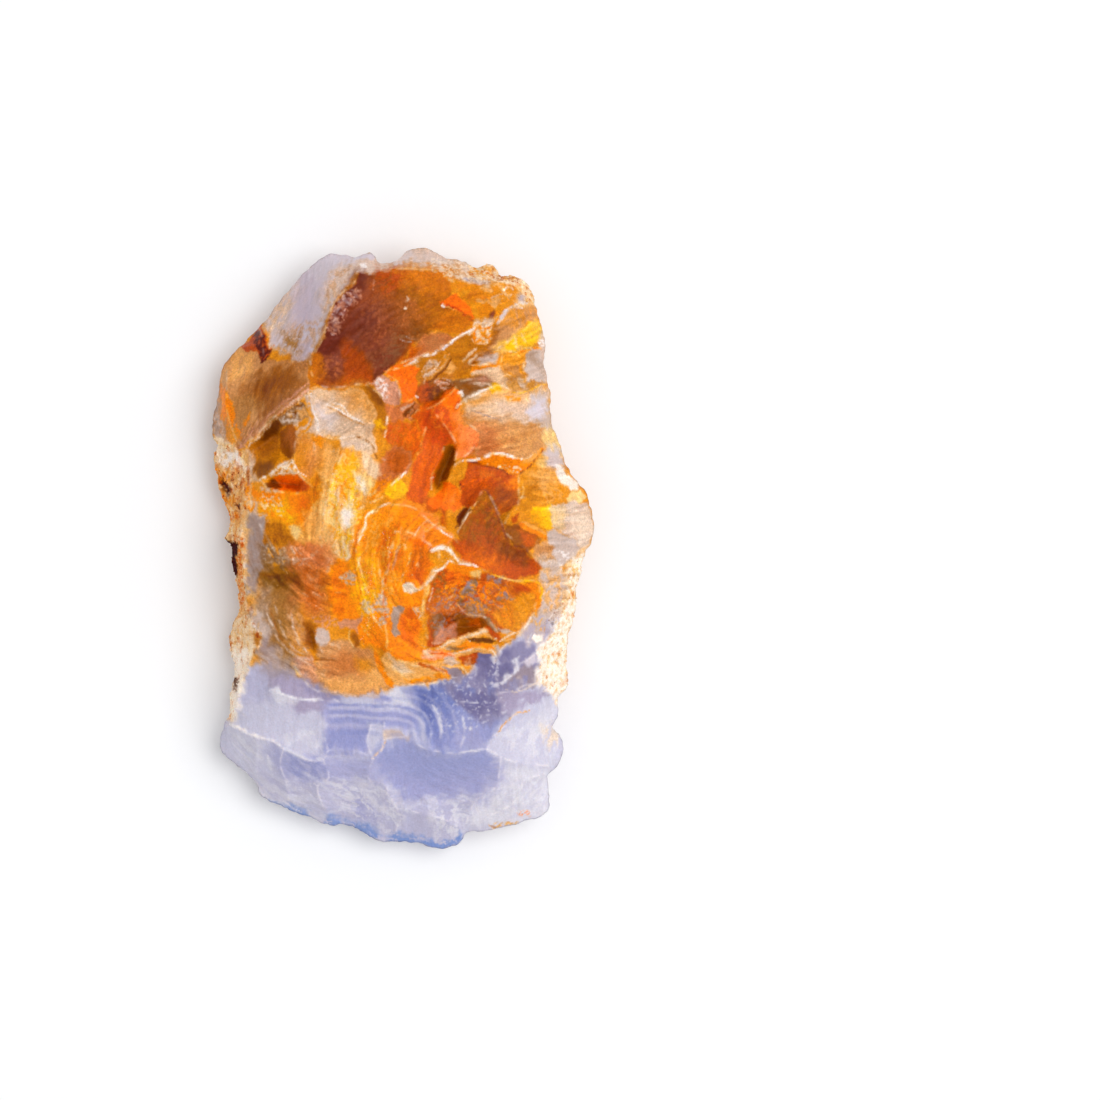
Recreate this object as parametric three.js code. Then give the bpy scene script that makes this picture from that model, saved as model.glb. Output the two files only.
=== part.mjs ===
// A rough piece of blue lace agate that lies on its flat underside. It is one solid.
// Its upper face is a set of shallow scoops that meet along sharp ridges, as in knapped stone.
// Units are millimetres. X runs across the stone, Y along it and Z up, with the origin under its middle.

import * as THREE from 'three';

// Driving sizes of the stone
const WIDTH = 34.8;
const LENGTH = 54.7;
const THICKNESS = 12.0;

// Sizes of the facets and of their relief
const TOP_STEP = 0.68;
const UNDER_STEP = 1.5;
const RIM_CLEARANCE = 0.62;
const TOP_SAG = 0.12;
const UNDER_SAG = 0.05;
const RIND_LUMP = 0.3;
const RIND_LUMP_SIZE = 1.3;
const RELAX_ROUNDS = 400;

// Spaces between the points of a sheet, as shares of its step
const FIXED_SPACING = 0.5;
const FREE_SPACING = 0.72;
const RESTING_SPACING = 2;

// Numbers that scatter the noise, and how far outside the stone its triangulation starts
const NOISE_ACROSS = 127.1;
const NOISE_ALONG = 311.7;
const NOISE_SPREAD = 43758.5453;
const FRAME_REACH = 10 * LENGTH;

const STONE_COLOUR = 0xc9803a;
const STONE_ROUGHNESS = 0.35;

// The widest line of the stone, anticlockwise from the notch at its top: X, Y and height
const OUTLINE = [
  // pale lobe at the upper left
  [-2.2, 26.1, 4.9], [-2.6, 26.6, 4.6], [-3.1, 26.95, 4.4], [-4.2, 26.5, 4.4], [-5.2, 26.75, 4.2],
  [-6.8, 26.85, 4.0], [-7.8, 26.2, 3.9], [-9.0, 25.2, 3.8], [-10.2, 23.8, 3.7], [-11.6, 22.2, 3.7],
  [-12.4, 20.95, 3.8], [-13.1, 20.2, 3.9],
  // amber shoulder on the left
  [-14.3, 18.9, 3.8], [-15.3, 18.0, 3.7], [-16.1, 17.1, 3.6], [-16.6, 15.8, 3.5], [-16.8, 14.4, 3.4],
  [-17.2, 12.6, 3.3], [-17.4, 10.9, 3.2], [-17.35, 10.1, 3.2],
  // crust down the left side
  [-16.85, 9.5, 3.2], [-17.3, 8.6, 3.1], [-17.05, 7.2, 3.0], [-16.9, 5.9, 3.0], [-16.4, 4.5, 2.9],
  [-15.95, 3.1, 2.9], [-15.85, 1.8, 3.0], [-16.3, 0.95, 3.0], [-15.6, 0.2, 3.0], [-15.65, -1.2, 3.0],
  [-15.3, -2.6, 3.0], [-15.0, -4.2, 3.0], [-15.1, -5.8, 3.0], [-15.65, -7.0, 2.9], [-15.85, -8.2, 2.9],
  [-15.6, -9.8, 3.0], [-15.35, -10.8, 3.0], [-15.55, -12.2, 3.0], [-15.8, -13.6, 3.0], [-15.8, -14.9, 3.0],
  // blue end
  [-16.3, -16.0, 3.0], [-16.75, -17.3, 2.9], [-16.6, -18.4, 2.8], [-15.6, -19.4, 2.8], [-14.6, -20.2, 2.7],
  [-13.5, -21.3, 2.7], [-12.8, -22.7, 2.6], [-11.4, -23.3, 2.6], [-10.0, -24.0, 2.5], [-8.6, -24.5, 2.5],
  [-7.3, -25.0, 2.5], [-6.5, -25.3, 2.4], [-5.7, -25.1, 2.4], [-4.2, -25.6, 2.4], [-2.8, -26.4, 2.4],
  [-1.6, -26.7, 2.4], [0.2, -26.7, 2.4], [1.8, -26.95, 2.4], [3.1, -27.35, 2.4], [4.7, -27.05, 2.5],
  [5.4, -26.5, 2.6], [5.9, -25.8, 2.8], [7.5, -25.7, 3.0], [9.2, -25.35, 3.1], [11.0, -24.8, 3.2],
  [12.4, -24.45, 3.2], [13.2, -23.7, 3.3], [13.35, -22.2, 3.4], [13.2, -20.7, 3.5], [14.1, -19.6, 3.5],
  [14.55, -18.5, 3.5], [14.3, -17.0, 3.6], [13.6, -16.2, 3.8], [14.1, -15.1, 3.8], [14.1, -13.6, 3.8],
  // crust down the right side
  [14.9, -12.5, 3.8], [14.95, -10.4, 3.8], [15.0, -8.4, 3.8], [15.4, -6.8, 3.8], [15.8, -4.9, 3.8],
  [15.8, -3.6, 3.8], [16.2, -2.2, 3.8], [16.4, -0.9, 3.9], [16.9, 0.2, 4.0],
  // clear fans on the right
  [17.4, 1.4, 4.1], [17.3, 2.9, 4.2], [17.0, 4.4, 4.4], [16.3, 5.7, 4.5], [15.4, 6.8, 4.6],
  [14.8, 8.0, 4.7], [14.3, 9.5, 4.8], [13.75, 10.9, 4.9], [13.4, 12.5, 5.0], [13.5, 13.9, 5.0],
  [13.1, 15.4, 5.0], [12.85, 16.9, 5.0], [12.95, 18.6, 5.0], [12.7, 20.0, 5.0], [12.2, 21.4, 5.0],
  // crust and pale band along the top
  [11.8, 23.0, 4.9], [11.2, 24.2, 4.9], [10.2, 24.7, 5.0], [9.0, 24.9, 5.0], [8.1, 25.8, 4.9],
  [6.7, 25.6, 5.0], [5.2, 26.2, 5.1], [3.8, 26.5, 5.1], [2.6, 27.15, 4.9], [1.6, 27.35, 4.8],
  [0.5, 27.05, 4.8], [-0.3, 26.4, 5.1], [-1.2, 25.95, 5.3],
];

// Ridges, ledges and creases of the upper face, each a line of X, Y and height
const RIDGES = {
  darkScoopLeftLip: [[-8.1, 16.8, 9.0], [-7.6, 17.6, 9.7], [-6.9, 18.9, 10.2], [-6.6, 20.0, 10.4],
    [-6.3, 21.1, 10.5], [-5.6, 22.4, 10.3], [-4.9, 23.2, 10.0], [-4.1, 23.9, 9.5], [-3.9, 24.9, 8.9]],
  darkScoopTopLip: [[-3.9, 24.9, 8.9], [-2.6, 24.7, 9.0], [-1.4, 24.9, 8.9], [0, 25.2, 8.7],
    [1.6, 25.1, 8.6], [3.2, 25.0, 8.5], [4.2, 24.3, 8.5], [5.2, 23.9, 8.4], [6.5, 24.0, 8.2],
    [7.9, 23.6, 8.2], [9.0, 24.0, 7.8], [10.2, 23.9, 7.1]],
  darkScoopBottomLip: [[-8.1, 16.8, 9.0], [-7.9, 15.6, 9.2], [-7.0, 14.6, 9.4], [-5.6, 14.5, 9.6],
    [-4.2, 14.7, 9.8], [-2.7, 14.9, 10.0], [-1.9, 15.2, 10.2], [-0.9, 16.1, 10.3], [0.5, 16.8, 10.4]],
  darkScoopFloor: [[-5.0, 17.2, 8.7], [-3.6, 19.4, 8.6], [-2.2, 21.6, 8.5], [-0.4, 23.2, 8.3]],
  whiteRidge: [[0.5, 16.8, 10.4], [2.2, 17.4, 10.6], [3.5, 18.0, 10.6], [4.6, 18.6, 10.4],
    [5.6, 19.2, 10.2], [6.4, 19.6, 10.0], [7.2, 20.2, 9.7], [8.4, 20.6, 9.5], [9.4, 21.4, 9.0],
    [10.2, 21.9, 8.3], [11.2, 22.2, 7.2]],
  amberFold: [[3.6, 22.3, 8.7], [4.6, 21.7, 9.1], [5.6, 21.0, 9.4], [6.6, 20.4, 9.7]],
  amberCrease: [[0.2, 17.0, 10.1], [1.2, 18.2, 9.6], [2.2, 19.1, 9.3], [3.2, 20.0, 9.1],
    [4.2, 20.6, 9.0]],
  topLobeStep: [[-1.2, 25.4, 7.2], [-0.4, 26.1, 6.4], [0.3, 26.8, 5.4]],
  topBandFold: [[-4.2, 26.4, 4.9], [-4.1, 25.9, 6.3], [-3.9, 24.9, 8.9]],
  topBandCrease: [[4.2, 25.8, 6.4], [5.0, 24.9, 7.3], [5.6, 24.3, 7.9]],
  paleFacetUpperFold: [[-4.1, 25.9, 6.3], [-5.6, 25.4, 6.8], [-6.4, 24.6, 7.3], [-7.0, 23.6, 7.9],
    [-7.2, 22.4, 8.5], [-6.9, 21.0, 9.5]],
  paleFacetLowerFold: [[-9.8, 24.0, 4.5], [-9.9, 22.6, 5.5], [-9.9, 21.0, 6.5], [-9.8, 19.8, 7.1],
    [-9.3, 18.2, 7.7], [-8.6, 16.8, 8.6]],
  shoulderCrease: [[-14.4, 18.3, 4.6], [-13.4, 18.3, 5.4], [-12.5, 17.2, 6.2], [-11.0, 17.0, 7.0],
    [-9.6, 16.9, 7.8], [-8.6, 16.8, 8.6]],
  shoulderFleck: [[-13.0, 20.0, 4.7], [-12.7, 19.2, 5.5], [-12.5, 17.2, 6.2]],
  shoulderEdge: [[-16.0, 16.4, 4.3], [-16.0, 14.8, 4.9], [-15.9, 12.6, 5.4], [-15.5, 11.2, 5.6],
    [-15.0, 9.8, 5.9]],
  shoulderRidge: [[-14.2, 9.4, 7.3], [-13.0, 10.3, 8.1], [-11.8, 11.4, 8.8], [-10.6, 12.5, 9.3],
    [-9.3, 13.5, 9.6], [-8.3, 14.3, 9.5], [-7.0, 14.6, 9.4]],
  hollowFloor: [[-13.4, 8.9, 6.9], [-12.4, 9.5, 6.9], [-11.3, 10.2, 7.1], [-10.6, 9.2, 7.4],
    [-10.3, 8.2, 8.0]],
  hollowRightEdge: [[-9.0, 13.1, 8.9], [-9.3, 12.0, 8.4], [-9.3, 10.6, 8.5], [-9.5, 9.4, 8.7],
    [-9.5, 8.1, 9.0]],
  creamFacetLeft: [[-8.3, 14.3, 9.5], [-8.0, 13.0, 9.1], [-7.6, 11.6, 8.8], [-7.5, 10.4, 8.9]],
  creamFacetRight: [[-3.0, 14.7, 9.9], [-1.9, 13.9, 9.6], [-1.3, 12.9, 9.5], [-1.2, 11.4, 9.4],
    [-1.6, 10.2, 9.3]],
  creamWave: [[-7.5, 10.4, 8.9], [-6.0, 9.9, 9.2], [-4.0, 10.1, 9.4], [-2.8, 9.4, 9.4], [-2.2, 8.4, 9.3],
    [-1.4, 8.0, 9.3]],
  slotUpperLip: [[-12.7, 6.3, 7.7], [-11.6, 6.9, 8.3], [-11.1, 7.4, 8.8], [-10.2, 7.3, 9.1],
    [-9.4, 7.0, 9.2], [-8.8, 6.4, 9.2], [-7.9, 5.6, 9.0]],
  slotLowerLip: [[-12.7, 6.3, 7.7], [-11.9, 5.4, 7.9], [-11.0, 5.2, 8.2], [-10.0, 5.05, 8.4],
    [-8.8, 5.1, 8.7], [-7.9, 5.6, 9.0]],
  slotFloor: [[-11.7, 6.1, 7.1], [-10.4, 5.9, 7.2], [-9.2, 5.8, 7.7]],
  leftFacetFoot: [[-11.9, 5.4, 7.9], [-12.6, 4.4, 7.5], [-12.0, 3.0, 7.4], [-10.9, 2.5, 7.6],
    [-10.0, 2.0, 7.9], [-9.6, 0.8, 8.1], [-8.9, 0, 8.5]],
  leftFacetCrease: [[-9.3, 4.6, 8.5], [-9.1, 3.0, 8.5], [-8.8, 1.8, 8.6]],
  yellowCrestLeft: [[-7.0, 2.6, 9.2], [-6.6, 4.4, 9.5], [-6.0, 6.2, 9.7], [-5.6, 7.6, 9.7],
    [-5.0, 8.8, 9.5]],
  yellowCrestRight: [[-4.1, 6.9, 9.5], [-4.0, 5.6, 9.6], [-4.3, 4.0, 9.8], [-4.2, 2.6, 9.9],
    [-4.2, 1.0, 9.9], [-3.8, -0.8, 9.8]],
  centreRidge: [[2.3, 10.9, 9.4], [1.9, 9.6, 9.7], [1.6, 8.6, 9.8], [0.9, 7.6, 9.9], [0.1, 6.7, 10.1],
    [-0.9, 5.6, 10.1], [-1.9, 4.9, 10.0], [-3.0, 4.0, 9.9], [-4.0, 3.4, 9.8]],
  pinkFacetFold: [[-1.9, 15.2, 10.2], [-0.9, 14.4, 9.7], [-0.3, 13.0, 9.4], [-0.4, 11.4, 9.3],
    [-0.2, 9.6, 9.2], [-0.6, 8.0, 9.3]],
  arrowFacet: [[-1.3, 15.7, 10.2], [-0.2, 14.9, 9.9], [0.1, 13.1, 9.7], [1.0, 13.4, 9.6],
    [1.7, 13.9, 9.7], [2.3, 15.4, 9.5]],
  redRidgeTop: [[1.0, 11.3, 9.2], [1.5, 12.4, 9.9], [2.6, 12.6, 10.2], [3.4, 13.0, 10.4],
    [4.6, 14.0, 10.5], [5.0, 14.5, 10.3]],
  redRidgeFoot: [[2.6, 13.2, 9.4], [3.6, 14.0, 9.3], [4.6, 15.0, 9.2]],
  redRidgeCrest: [[2.6, 12.6, 10.2], [3.6, 11.6, 10.3], [4.2, 10.8, 10.3], [4.8, 9.9, 10.0],
    [5.1, 9.0, 9.5], [4.9, 8.0, 9.3]],
  salmonFacetEdge: [[5.2, 12.0, 9.6], [6.0, 11.3, 9.4], [7.0, 10.4, 9.1], [6.7, 9.4, 8.8],
    [6.2, 8.7, 8.8], [5.4, 8.1, 9.2]],
  clefFloor: [[4.6, 9.0, 8.3], [4.2, 7.9, 8.0], [3.7, 6.9, 7.9], [3.4, 5.8, 8.1], [3.2, 5.2, 8.8]],
  clefLeftEdge: [[3.9, 9.1, 9.5], [3.6, 8.2, 9.7], [3.1, 7.2, 9.8], [2.8, 6.4, 9.7], [2.8, 5.4, 9.6]],
  clefRightEdge: [[4.9, 7.6, 9.3], [4.5, 6.8, 9.1], [4.2, 6.2, 9.2]],
  brownFanRidge: [[6.4, 16.5, 8.9], [7.6, 16.6, 8.9], [8.9, 16.6, 8.7], [9.2, 17.6, 8.4],
    [10.2, 17.8, 7.9], [11.2, 18.1, 7.3], [12.5, 18.2, 6.2]],
  brownFanCrease: [[8.9, 20.2, 8.9], [8.4, 19.2, 8.6], [7.7, 18.4, 8.4], [7.0, 17.6, 8.3],
    [6.3, 16.9, 8.3]],
  yellowFanTop: [[8.8, 18.1, 8.5], [10.5, 19.3, 8.1], [12.0, 20.6, 6.7]],
  clearFanRidge: [[5.2, 12.9, 9.7], [6.4, 13.9, 9.6], [7.6, 14.3, 9.3], [8.8, 14.7, 9.0],
    [10.2, 14.2, 8.4], [11.4, 14.1, 7.7], [12.7, 14.8, 6.3]],
  clearFanHollow: [[5.4, 15.1, 8.4], [6.6, 15.3, 8.3], [7.8, 15.3, 8.2]],
  greyFanEdge: [[9.3, 15.8, 8.3], [11.1, 15.3, 7.7], [11.0, 16.3, 7.6], [11.2, 17.3, 7.3]],
  creamFanFoot: [[5.4, 12.0, 9.2], [7.0, 11.6, 8.8], [8.6, 11.3, 8.6], [10.2, 11.2, 8.3],
    [12.0, 11.3, 7.4], [13.2, 11.0, 6.0]],
  stepRidge: [[4.9, 7.6, 9.3], [5.6, 7.95, 9.6], [6.9, 8.0, 9.8], [8.0, 8.55, 9.9], [9.3, 8.4, 9.7],
    [11.1, 8.1, 9.0], [12.0, 8.6, 8.2], [12.9, 9.2, 7.4], [14.0, 9.6, 5.6]],
  stepFoot: [[6.6, 7.6, 9.1], [8.0, 7.4, 9.0], [9.2, 7.1, 8.8], [10.6, 6.7, 8.6], [11.3, 7.4, 8.4],
    [12.2, 8.2, 7.9]],
  aboveStep: [[6.6, 9.0, 9.2], [8.0, 9.5, 9.2], [9.6, 9.4, 9.0], [11.3, 9.1, 8.4]],
  rustFacetRight: [[10.6, 6.7, 8.6], [10.6, 5.6, 8.8], [10.6, 4.4, 9.0], [10.4, 3.6, 9.1]],
  rustFacetLine: [[7.0, 4.6, 9.8], [6.2, 3.6, 9.6], [5.6, 2.6, 9.4], [5.1, 1.8, 9.4]],
  rustFacetDarkFoot: [[6.2, 4.0, 9.0], [5.5, 3.4, 8.9], [5.1, 2.6, 9.0]],
  rustFacetCurve: [[7.0, 4.6, 9.8], [7.5, 5.4, 9.9], [7.9, 5.0, 9.7], [8.4, 4.0, 9.3], [9.0, 2.7, 9.0],
    [9.3, 1.7, 9.0], [10.4, 0.6, 8.9], [11.4, 0.0, 8.7], [12.2, -1.0, 8.5]],
  rustChip: [[9.4, 2.4, 9.2], [9.8, 3.2, 9.6], [10.4, 3.6, 9.1]],
  rightLobeUpperFold: [[12.9, 9.2, 7.4], [13.6, 8.0, 7.3], [13.9, 6.8, 7.2], [14.3, 6.0, 7.1],
    [15.2, 5.6, 6.2]],
  rightLobeMiddleFold: [[12.1, 4.0, 8.0], [13.1, 3.5, 7.9], [14.1, 3.9, 7.5], [15.0, 4.6, 6.8],
    [16.1, 5.2, 5.4]],
  rightLobeLowerFold: [[10.4, 3.6, 9.1], [11.4, 2.9, 8.8], [12.6, 2.1, 8.4], [13.6, 1.8, 7.9],
    [15.0, 1.4, 6.9], [16.4, 0.5, 5.1]],
  rightLobeFoot: [[12.2, -1.0, 8.5], [13.4, -0.6, 7.6], [14.6, -1.0, 6.8], [15.4, -0.6, 6.0]],
  domeEdge: [[-3.9, 0.6, 9.8], [-3.4, 1.8, 9.8], [-2.6, 3.0, 9.9], [-1.4, 3.8, 10.0], [-0.2, 4.0, 10.0],
    [1.4, 3.6, 10.0], [3.0, 2.2, 10.1], [3.9, 1.9, 10.1], [4.7, 1.2, 10.0], [5.3, 0.4, 9.8]],
  domeCrest: [[-0.4, 1.6, 10.5], [1.2, 1.4, 10.6], [2.4, 0.6, 10.6], [3.4, 0.1, 10.6], [4.4, 0.3, 10.6],
    [4.9, -0.3, 10.4], [5.6, -1.0, 10.2]],
  whiteKnob: [[0.4, -3.2, 9.9], [0.9, -3.0, 10.4], [1.4, -3.5, 10.2], [2.2, -3.0, 10.2],
    [3.0, -1.9, 10.3]],
  bowlRim: [[5.6, -1.0, 10.2], [4.0, -1.0, 10.4], [3.0, -1.9, 10.3], [2.4, -3.0, 10.2], [2.1, -4.4, 10.0],
    [2.0, -6.0, 9.8], [2.2, -7.4, 9.5], [2.9, -8.4, 9.3], [4.2, -8.2, 9.4], [5.6, -7.8, 9.5],
    [7.0, -7.2, 9.5], [8.0, -7.3, 9.3], [8.8, -8.2, 8.7], [10.4, -7.8, 8.2], [11.4, -6.7, 7.9],
    [12.0, -5.2, 7.8], [12.5, -3.8, 7.9], [12.2, -2.9, 8.2], [10.2, -2.8, 8.7], [8.4, -2.3, 9.1],
    [7.0, -1.6, 9.7], [5.6, -1.0, 10.2]],
  bowlFloor: [[3.6, -6.4, 8.2], [4.6, -6.9, 8.0], [6.0, -7.0, 8.0], [7.2, -6.7, 8.2]],
  bowlStep: [[4.9, -4.6, 8.6], [5.9, -5.8, 8.8], [7.6, -6.1, 8.7], [8.7, -7.4, 8.5]],
  bowlMound: [[6.4, -2.8, 9.0], [5.6, -3.9, 8.8], [5.9, -5.8, 8.8]],
  leftSweep: [[-13.0, -2.6, 6.6], [-11.0, -2.5, 6.7], [-9.4, -2.4, 7.3], [-7.6, -2.8, 8.2],
    [-6.0, -3.6, 9.0]],
  leftShelf: [[-13.2, 2.9, 7.0], [-12.0, 0.9, 7.4], [-11.0, -0.6, 7.7], [-9.4, -0.9, 8.2],
    [-8.0, -0.8, 8.7]],
  outerArc: [[-12.4, -5.2, 7.2], [-11.6, -6.8, 7.5], [-10.7, -8.2, 7.9], [-9.4, -9.6, 8.1],
    [-7.8, -10.6, 8.3], [-6.6, -11.6, 8.4]],
  innerArc: [[-10.2, -5.8, 7.9], [-9.6, -7.2, 8.2], [-8.8, -8.7, 8.3], [-7.9, -9.9, 8.4]],
  lensEdge: [[-7.7, -7.2, 8.9], [-7.5, -8.3, 8.8], [-7.0, -9.3, 8.6]],
  lensFoot: [[-8.5, -7.0, 8.1], [-8.0, -8.2, 7.9], [-7.9, -9.0, 8.0]],
  foldLeft: [[-3.8, -0.8, 9.8], [-3.2, -3.0, 9.6], [-2.6, -5.0, 9.4], [-2.2, -7.0, 9.2]],
  foldMiddle: [[-0.4, 1.6, 10.5], [-0.9, -1.0, 10.1], [-1.4, -3.4, 9.8], [-1.5, -5.6, 9.6],
    [-1.2, -7.8, 9.5], [-1.2, -9.0, 9.7]],
  curl: [[-1.2, -9.0, 9.7], [-0.2, -9.8, 9.9], [1.2, -10.4, 9.8], [2.6, -10.4, 9.7], [3.9, -11.0, 9.4],
    [4.7, -11.5, 9.0]],
  curlFoot: [[-1.7, -8.6, 9.0], [-2.2, -9.8, 8.8], [-1.9, -10.9, 8.8], [-1.3, -11.7, 8.8],
    [-0.5, -12.3, 8.8]],
  ledgeUpper: [[2.4, -9.0, 9.2], [4.0, -8.9, 9.2], [5.4, -9.2, 9.1], [7.0, -8.8, 9.0], [8.1, -9.0, 8.7],
    [8.6, -9.6, 8.2]],
  ledgeLower: [[2.0, -9.7, 9.4], [4.0, -9.8, 9.2], [5.2, -10.3, 8.9], [6.0, -11.2, 8.4]],
  ledgeFoot: [[4.9, -11.2, 8.3], [6.6, -10.6, 8.1], [7.4, -9.7, 8.1]],
  orangeFoot: [[-7.0, -12.4, 8.3], [-5.0, -12.9, 8.5], [-3.0, -13.1, 8.6], [-1.4, -13.0, 8.7],
    [-0.5, -12.3, 8.8], [1.8, -12.1, 8.9], [3.4, -11.9, 8.9], [4.7, -11.5, 9.0]],
  orangeScallop: [[-9.8, -10.3, 8.1], [-9.0, -11.2, 8.0], [-8.4, -12.2, 7.9], [-7.0, -13.0, 7.9],
    [-5.6, -13.7, 7.9]],
  blueShelf: [[-11.9, -12.7, 7.5], [-10.8, -13.0, 7.8], [-9.0, -13.5, 7.9], [-7.2, -13.4, 7.9]],
  blueRidge: [[-15.7, -15.9, 4.9], [-14.4, -16.5, 6.0], [-13.0, -16.9, 6.7], [-11.6, -17.3, 7.2],
    [-10.6, -17.9, 7.5], [-9.6, -18.4, 7.6], [-8.2, -19.0, 7.7], [-7.0, -18.9, 7.8], [-6.5, -18.1, 7.9],
    [-5.0, -18.0, 8.0], [-3.4, -18.3, 8.0], [-2.5, -18.8, 8.0], [-1.7, -18.0, 8.1], [-1.5, -17.1, 8.2],
    [-0.6, -16.9, 8.3], [0.4, -16.9, 8.3], [1.3, -17.4, 8.2], [2.4, -18.0, 8.1], [3.6, -18.2, 8.1],
    [5.0, -18.3, 8.0], [6.4, -18.1, 7.9], [7.8, -18.0, 7.8], [9.0, -18.7, 7.4], [10.4, -19.2, 7.0],
    [11.8, -19.4, 6.4], [13.2, -19.6, 5.2]],
  blueStepLeft: [[-6.9, -14.8, 8.1], [-6.9, -16.2, 8.0], [-6.8, -17.2, 7.9], [-6.5, -18.1, 7.9]],
  blueStepMiddle: [[-2.7, -15.8, 8.3], [-3.0, -17.4, 8.0], [-2.5, -18.8, 8.0]],
  blueStepRight: [[-1.5, -15.6, 8.5], [-1.5, -17.1, 8.2]],
  slateFacetEdge: [[12.0, -14.0, 6.9], [11.0, -14.7, 7.3], [10.2, -14.9, 7.6], [9.4, -15.8, 7.8],
    [8.7, -16.5, 7.9], [7.9, -17.1, 7.9], [7.8, -18.0, 7.8]],
  slateUpperStep: [[9.0, -12.0, 8.2], [10.0, -11.3, 8.3], [10.6, -10.4, 8.2], [11.4, -9.9, 7.9],
    [12.2, -9.4, 7.3]],
  slateLowerStep: [[8.8, -12.9, 8.2], [10.2, -12.7, 8.0], [11.2, -12.2, 7.8], [12.5, -12.3, 7.1]],
  slateTopEdge: [[8.6, -9.6, 8.2], [9.4, -8.6, 8.2], [10.6, -8.2, 8.0], [11.8, -8.4, 7.5]],
  leftSlopeFold: [[-13.0, -16.9, 6.7], [-13.2, -18.6, 5.6], [-13.4, -20.2, 4.3]],
  lowerSlopeFoldA: [[-10.6, -17.9, 7.5], [-11.0, -19.4, 6.3], [-10.5, -21.2, 5.1], [-10.4, -22.8, 3.8]],
  lowerSlopeFoldB: [[-7.0, -18.9, 7.8], [-6.6, -20.6, 6.7], [-7.6, -21.4, 6.0], [-7.4, -22.8, 5.0],
    [-6.6, -24.4, 3.4]],
  lowerSlopeFoldC: [[-2.5, -18.8, 8.0], [-3.0, -20.6, 7.0], [-1.6, -21.2, 6.9], [-0.9, -22.6, 6.0],
    [-0.3, -24.0, 4.9], [-0.6, -25.6, 3.5]],
  lowerSlopeFoldD: [[9.0, -18.7, 7.4], [8.8, -20.4, 6.8], [8.6, -21.4, 6.4], [7.0, -22.4, 6.0],
    [6.2, -23.6, 5.2], [5.8, -24.9, 3.9]],
  lowerSlopeFoldE: [[12.8, -20.4, 5.1], [11.0, -20.9, 6.0], [10.8, -22.0, 5.5], [9.8, -23.2, 4.9],
    [8.2, -24.1, 4.3]],
  lowerSlopeStep: [[0.2, -23.5, 5.5], [1.9, -24.0, 5.3], [3.6, -24.4, 5.0], [4.9, -25.2, 4.2]],
  leftCrustEdge: [[-15.8, 9.7, 5.2], [-15.0, 9.1, 6.2], [-14.1, 9.2, 6.9], [-13.8, 8.0, 6.8],
    [-13.6, 7.0, 6.8], [-13.9, 5.0, 6.8], [-14.0, 4.0, 6.6], [-13.6, 3.2, 6.8], [-14.3, 2.2, 6.5],
    [-14.6, 0.6, 6.3], [-14.3, -0.8, 6.4], [-14.3, -2.4, 6.4], [-13.9, -3.8, 6.6], [-14.1, -5.0, 6.4],
    [-13.8, -6.2, 6.6], [-12.8, -7.6, 7.3], [-12.7, -8.4, 7.4], [-13.4, -9.7, 7.0], [-14.0, -10.9, 6.6],
    [-14.8, -12.4, 5.9], [-14.9, -13.6, 5.8], [-15.2, -14.8, 5.2]],
  rightCrustEdge: [[15.3, -1.3, 5.8], [14.9, -2.6, 6.1], [15.0, -4.0, 6.0], [14.6, -5.0, 6.3],
    [13.9, -5.6, 6.7], [13.3, -6.4, 7.0], [13.5, -7.2, 6.7], [12.9, -8.3, 7.0], [12.5, -9.6, 7.2],
    [12.1, -11.2, 7.3], [12.1, -12.0, 7.3], [12.9, -12.4, 6.8], [13.6, -13.1, 5.6]],
};

// Weathered crust on the two sides and at the upper right: the areas that carry lumps
const CRUST_AREAS = [
  [[-17.5, 10], [-15, 9.2], [-13.7, 8], [-13.8, 5], [-14.4, 2], [-14.3, -3], [-12.6, -8], [-14.8, -12.5],
    [-15.4, -15.6], [-16.5, -15.6], [-17.5, 0]],
  [[16.8, 0.2], [15.2, -1.2], [14.8, -4.8], [13.2, -6.4], [12.2, -11.8], [14, -13.2], [15.6, -12.6],
    [16.8, -3]],
  [[5.9, 24.3], [6.2, 26.2], [8.2, 26.2], [11.8, 24.4], [12.2, 22.6], [10.9, 22.4], [10.3, 23.9], [8, 24.5]],
];

// The flat face that the stone rests on, and the break above it that runs up to the widest line
const RESTING_FACE = [
  [-9.5, 14.5], [-11.5, 5.0], [-10.8, -6.0], [-11.2, -14.0], [-5.5, -19.0], [2.5, -21.0], [8.6, -16.5],
  [9.6, -6.5], [11.2, 1.5], [8.4, 10.5], [7.0, 18.0], [0.5, 20.5], [-6.0, 18.5],
];
const UNDER_BREAK = [
  [-13.2, 14.5, 1.2], [-14.6, 6.0, 1.1], [-13.2, -4.0, 1.0], [-14.2, -15.5, 1.1], [-8.6, -21.8, 1.1],
  [2.5, -24.6, 1.2], [11.0, -20.8, 1.5], [12.4, -9.0, 1.6], [14.3, 1.2, 1.8], [11.4, 10.4, 2.0],
  [10.2, 20.6, 2.0], [2.0, 24.6, 2.0], [-7.4, 23.2, 1.5],
];

// A curve through the given points, sampled about every step
function sampled(points, step, closed = false) {
  const curve = new THREE.CatmullRomCurve3(points.map((p) => new THREE.Vector3(...p)), closed, 'centripetal');
  const spaces = Math.max(1, Math.round(curve.getLength() / step));
  const found = curve.getSpacedPoints(spaces);
  return closed ? found.slice(0, -1) : found;
}

function isInside(p, ring) {
  let inside = false;
  ring.forEach((a, i) => {
    const b = ring[(i + 1) % ring.length];
    const spans = (a.y > p.y) !== (b.y > p.y);
    if (spans && p.x < ((b.x - a.x) * (p.y - a.y)) / (b.y - a.y) + a.x) {
      inside = !inside;
    }
  });
  return inside;
}

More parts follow.
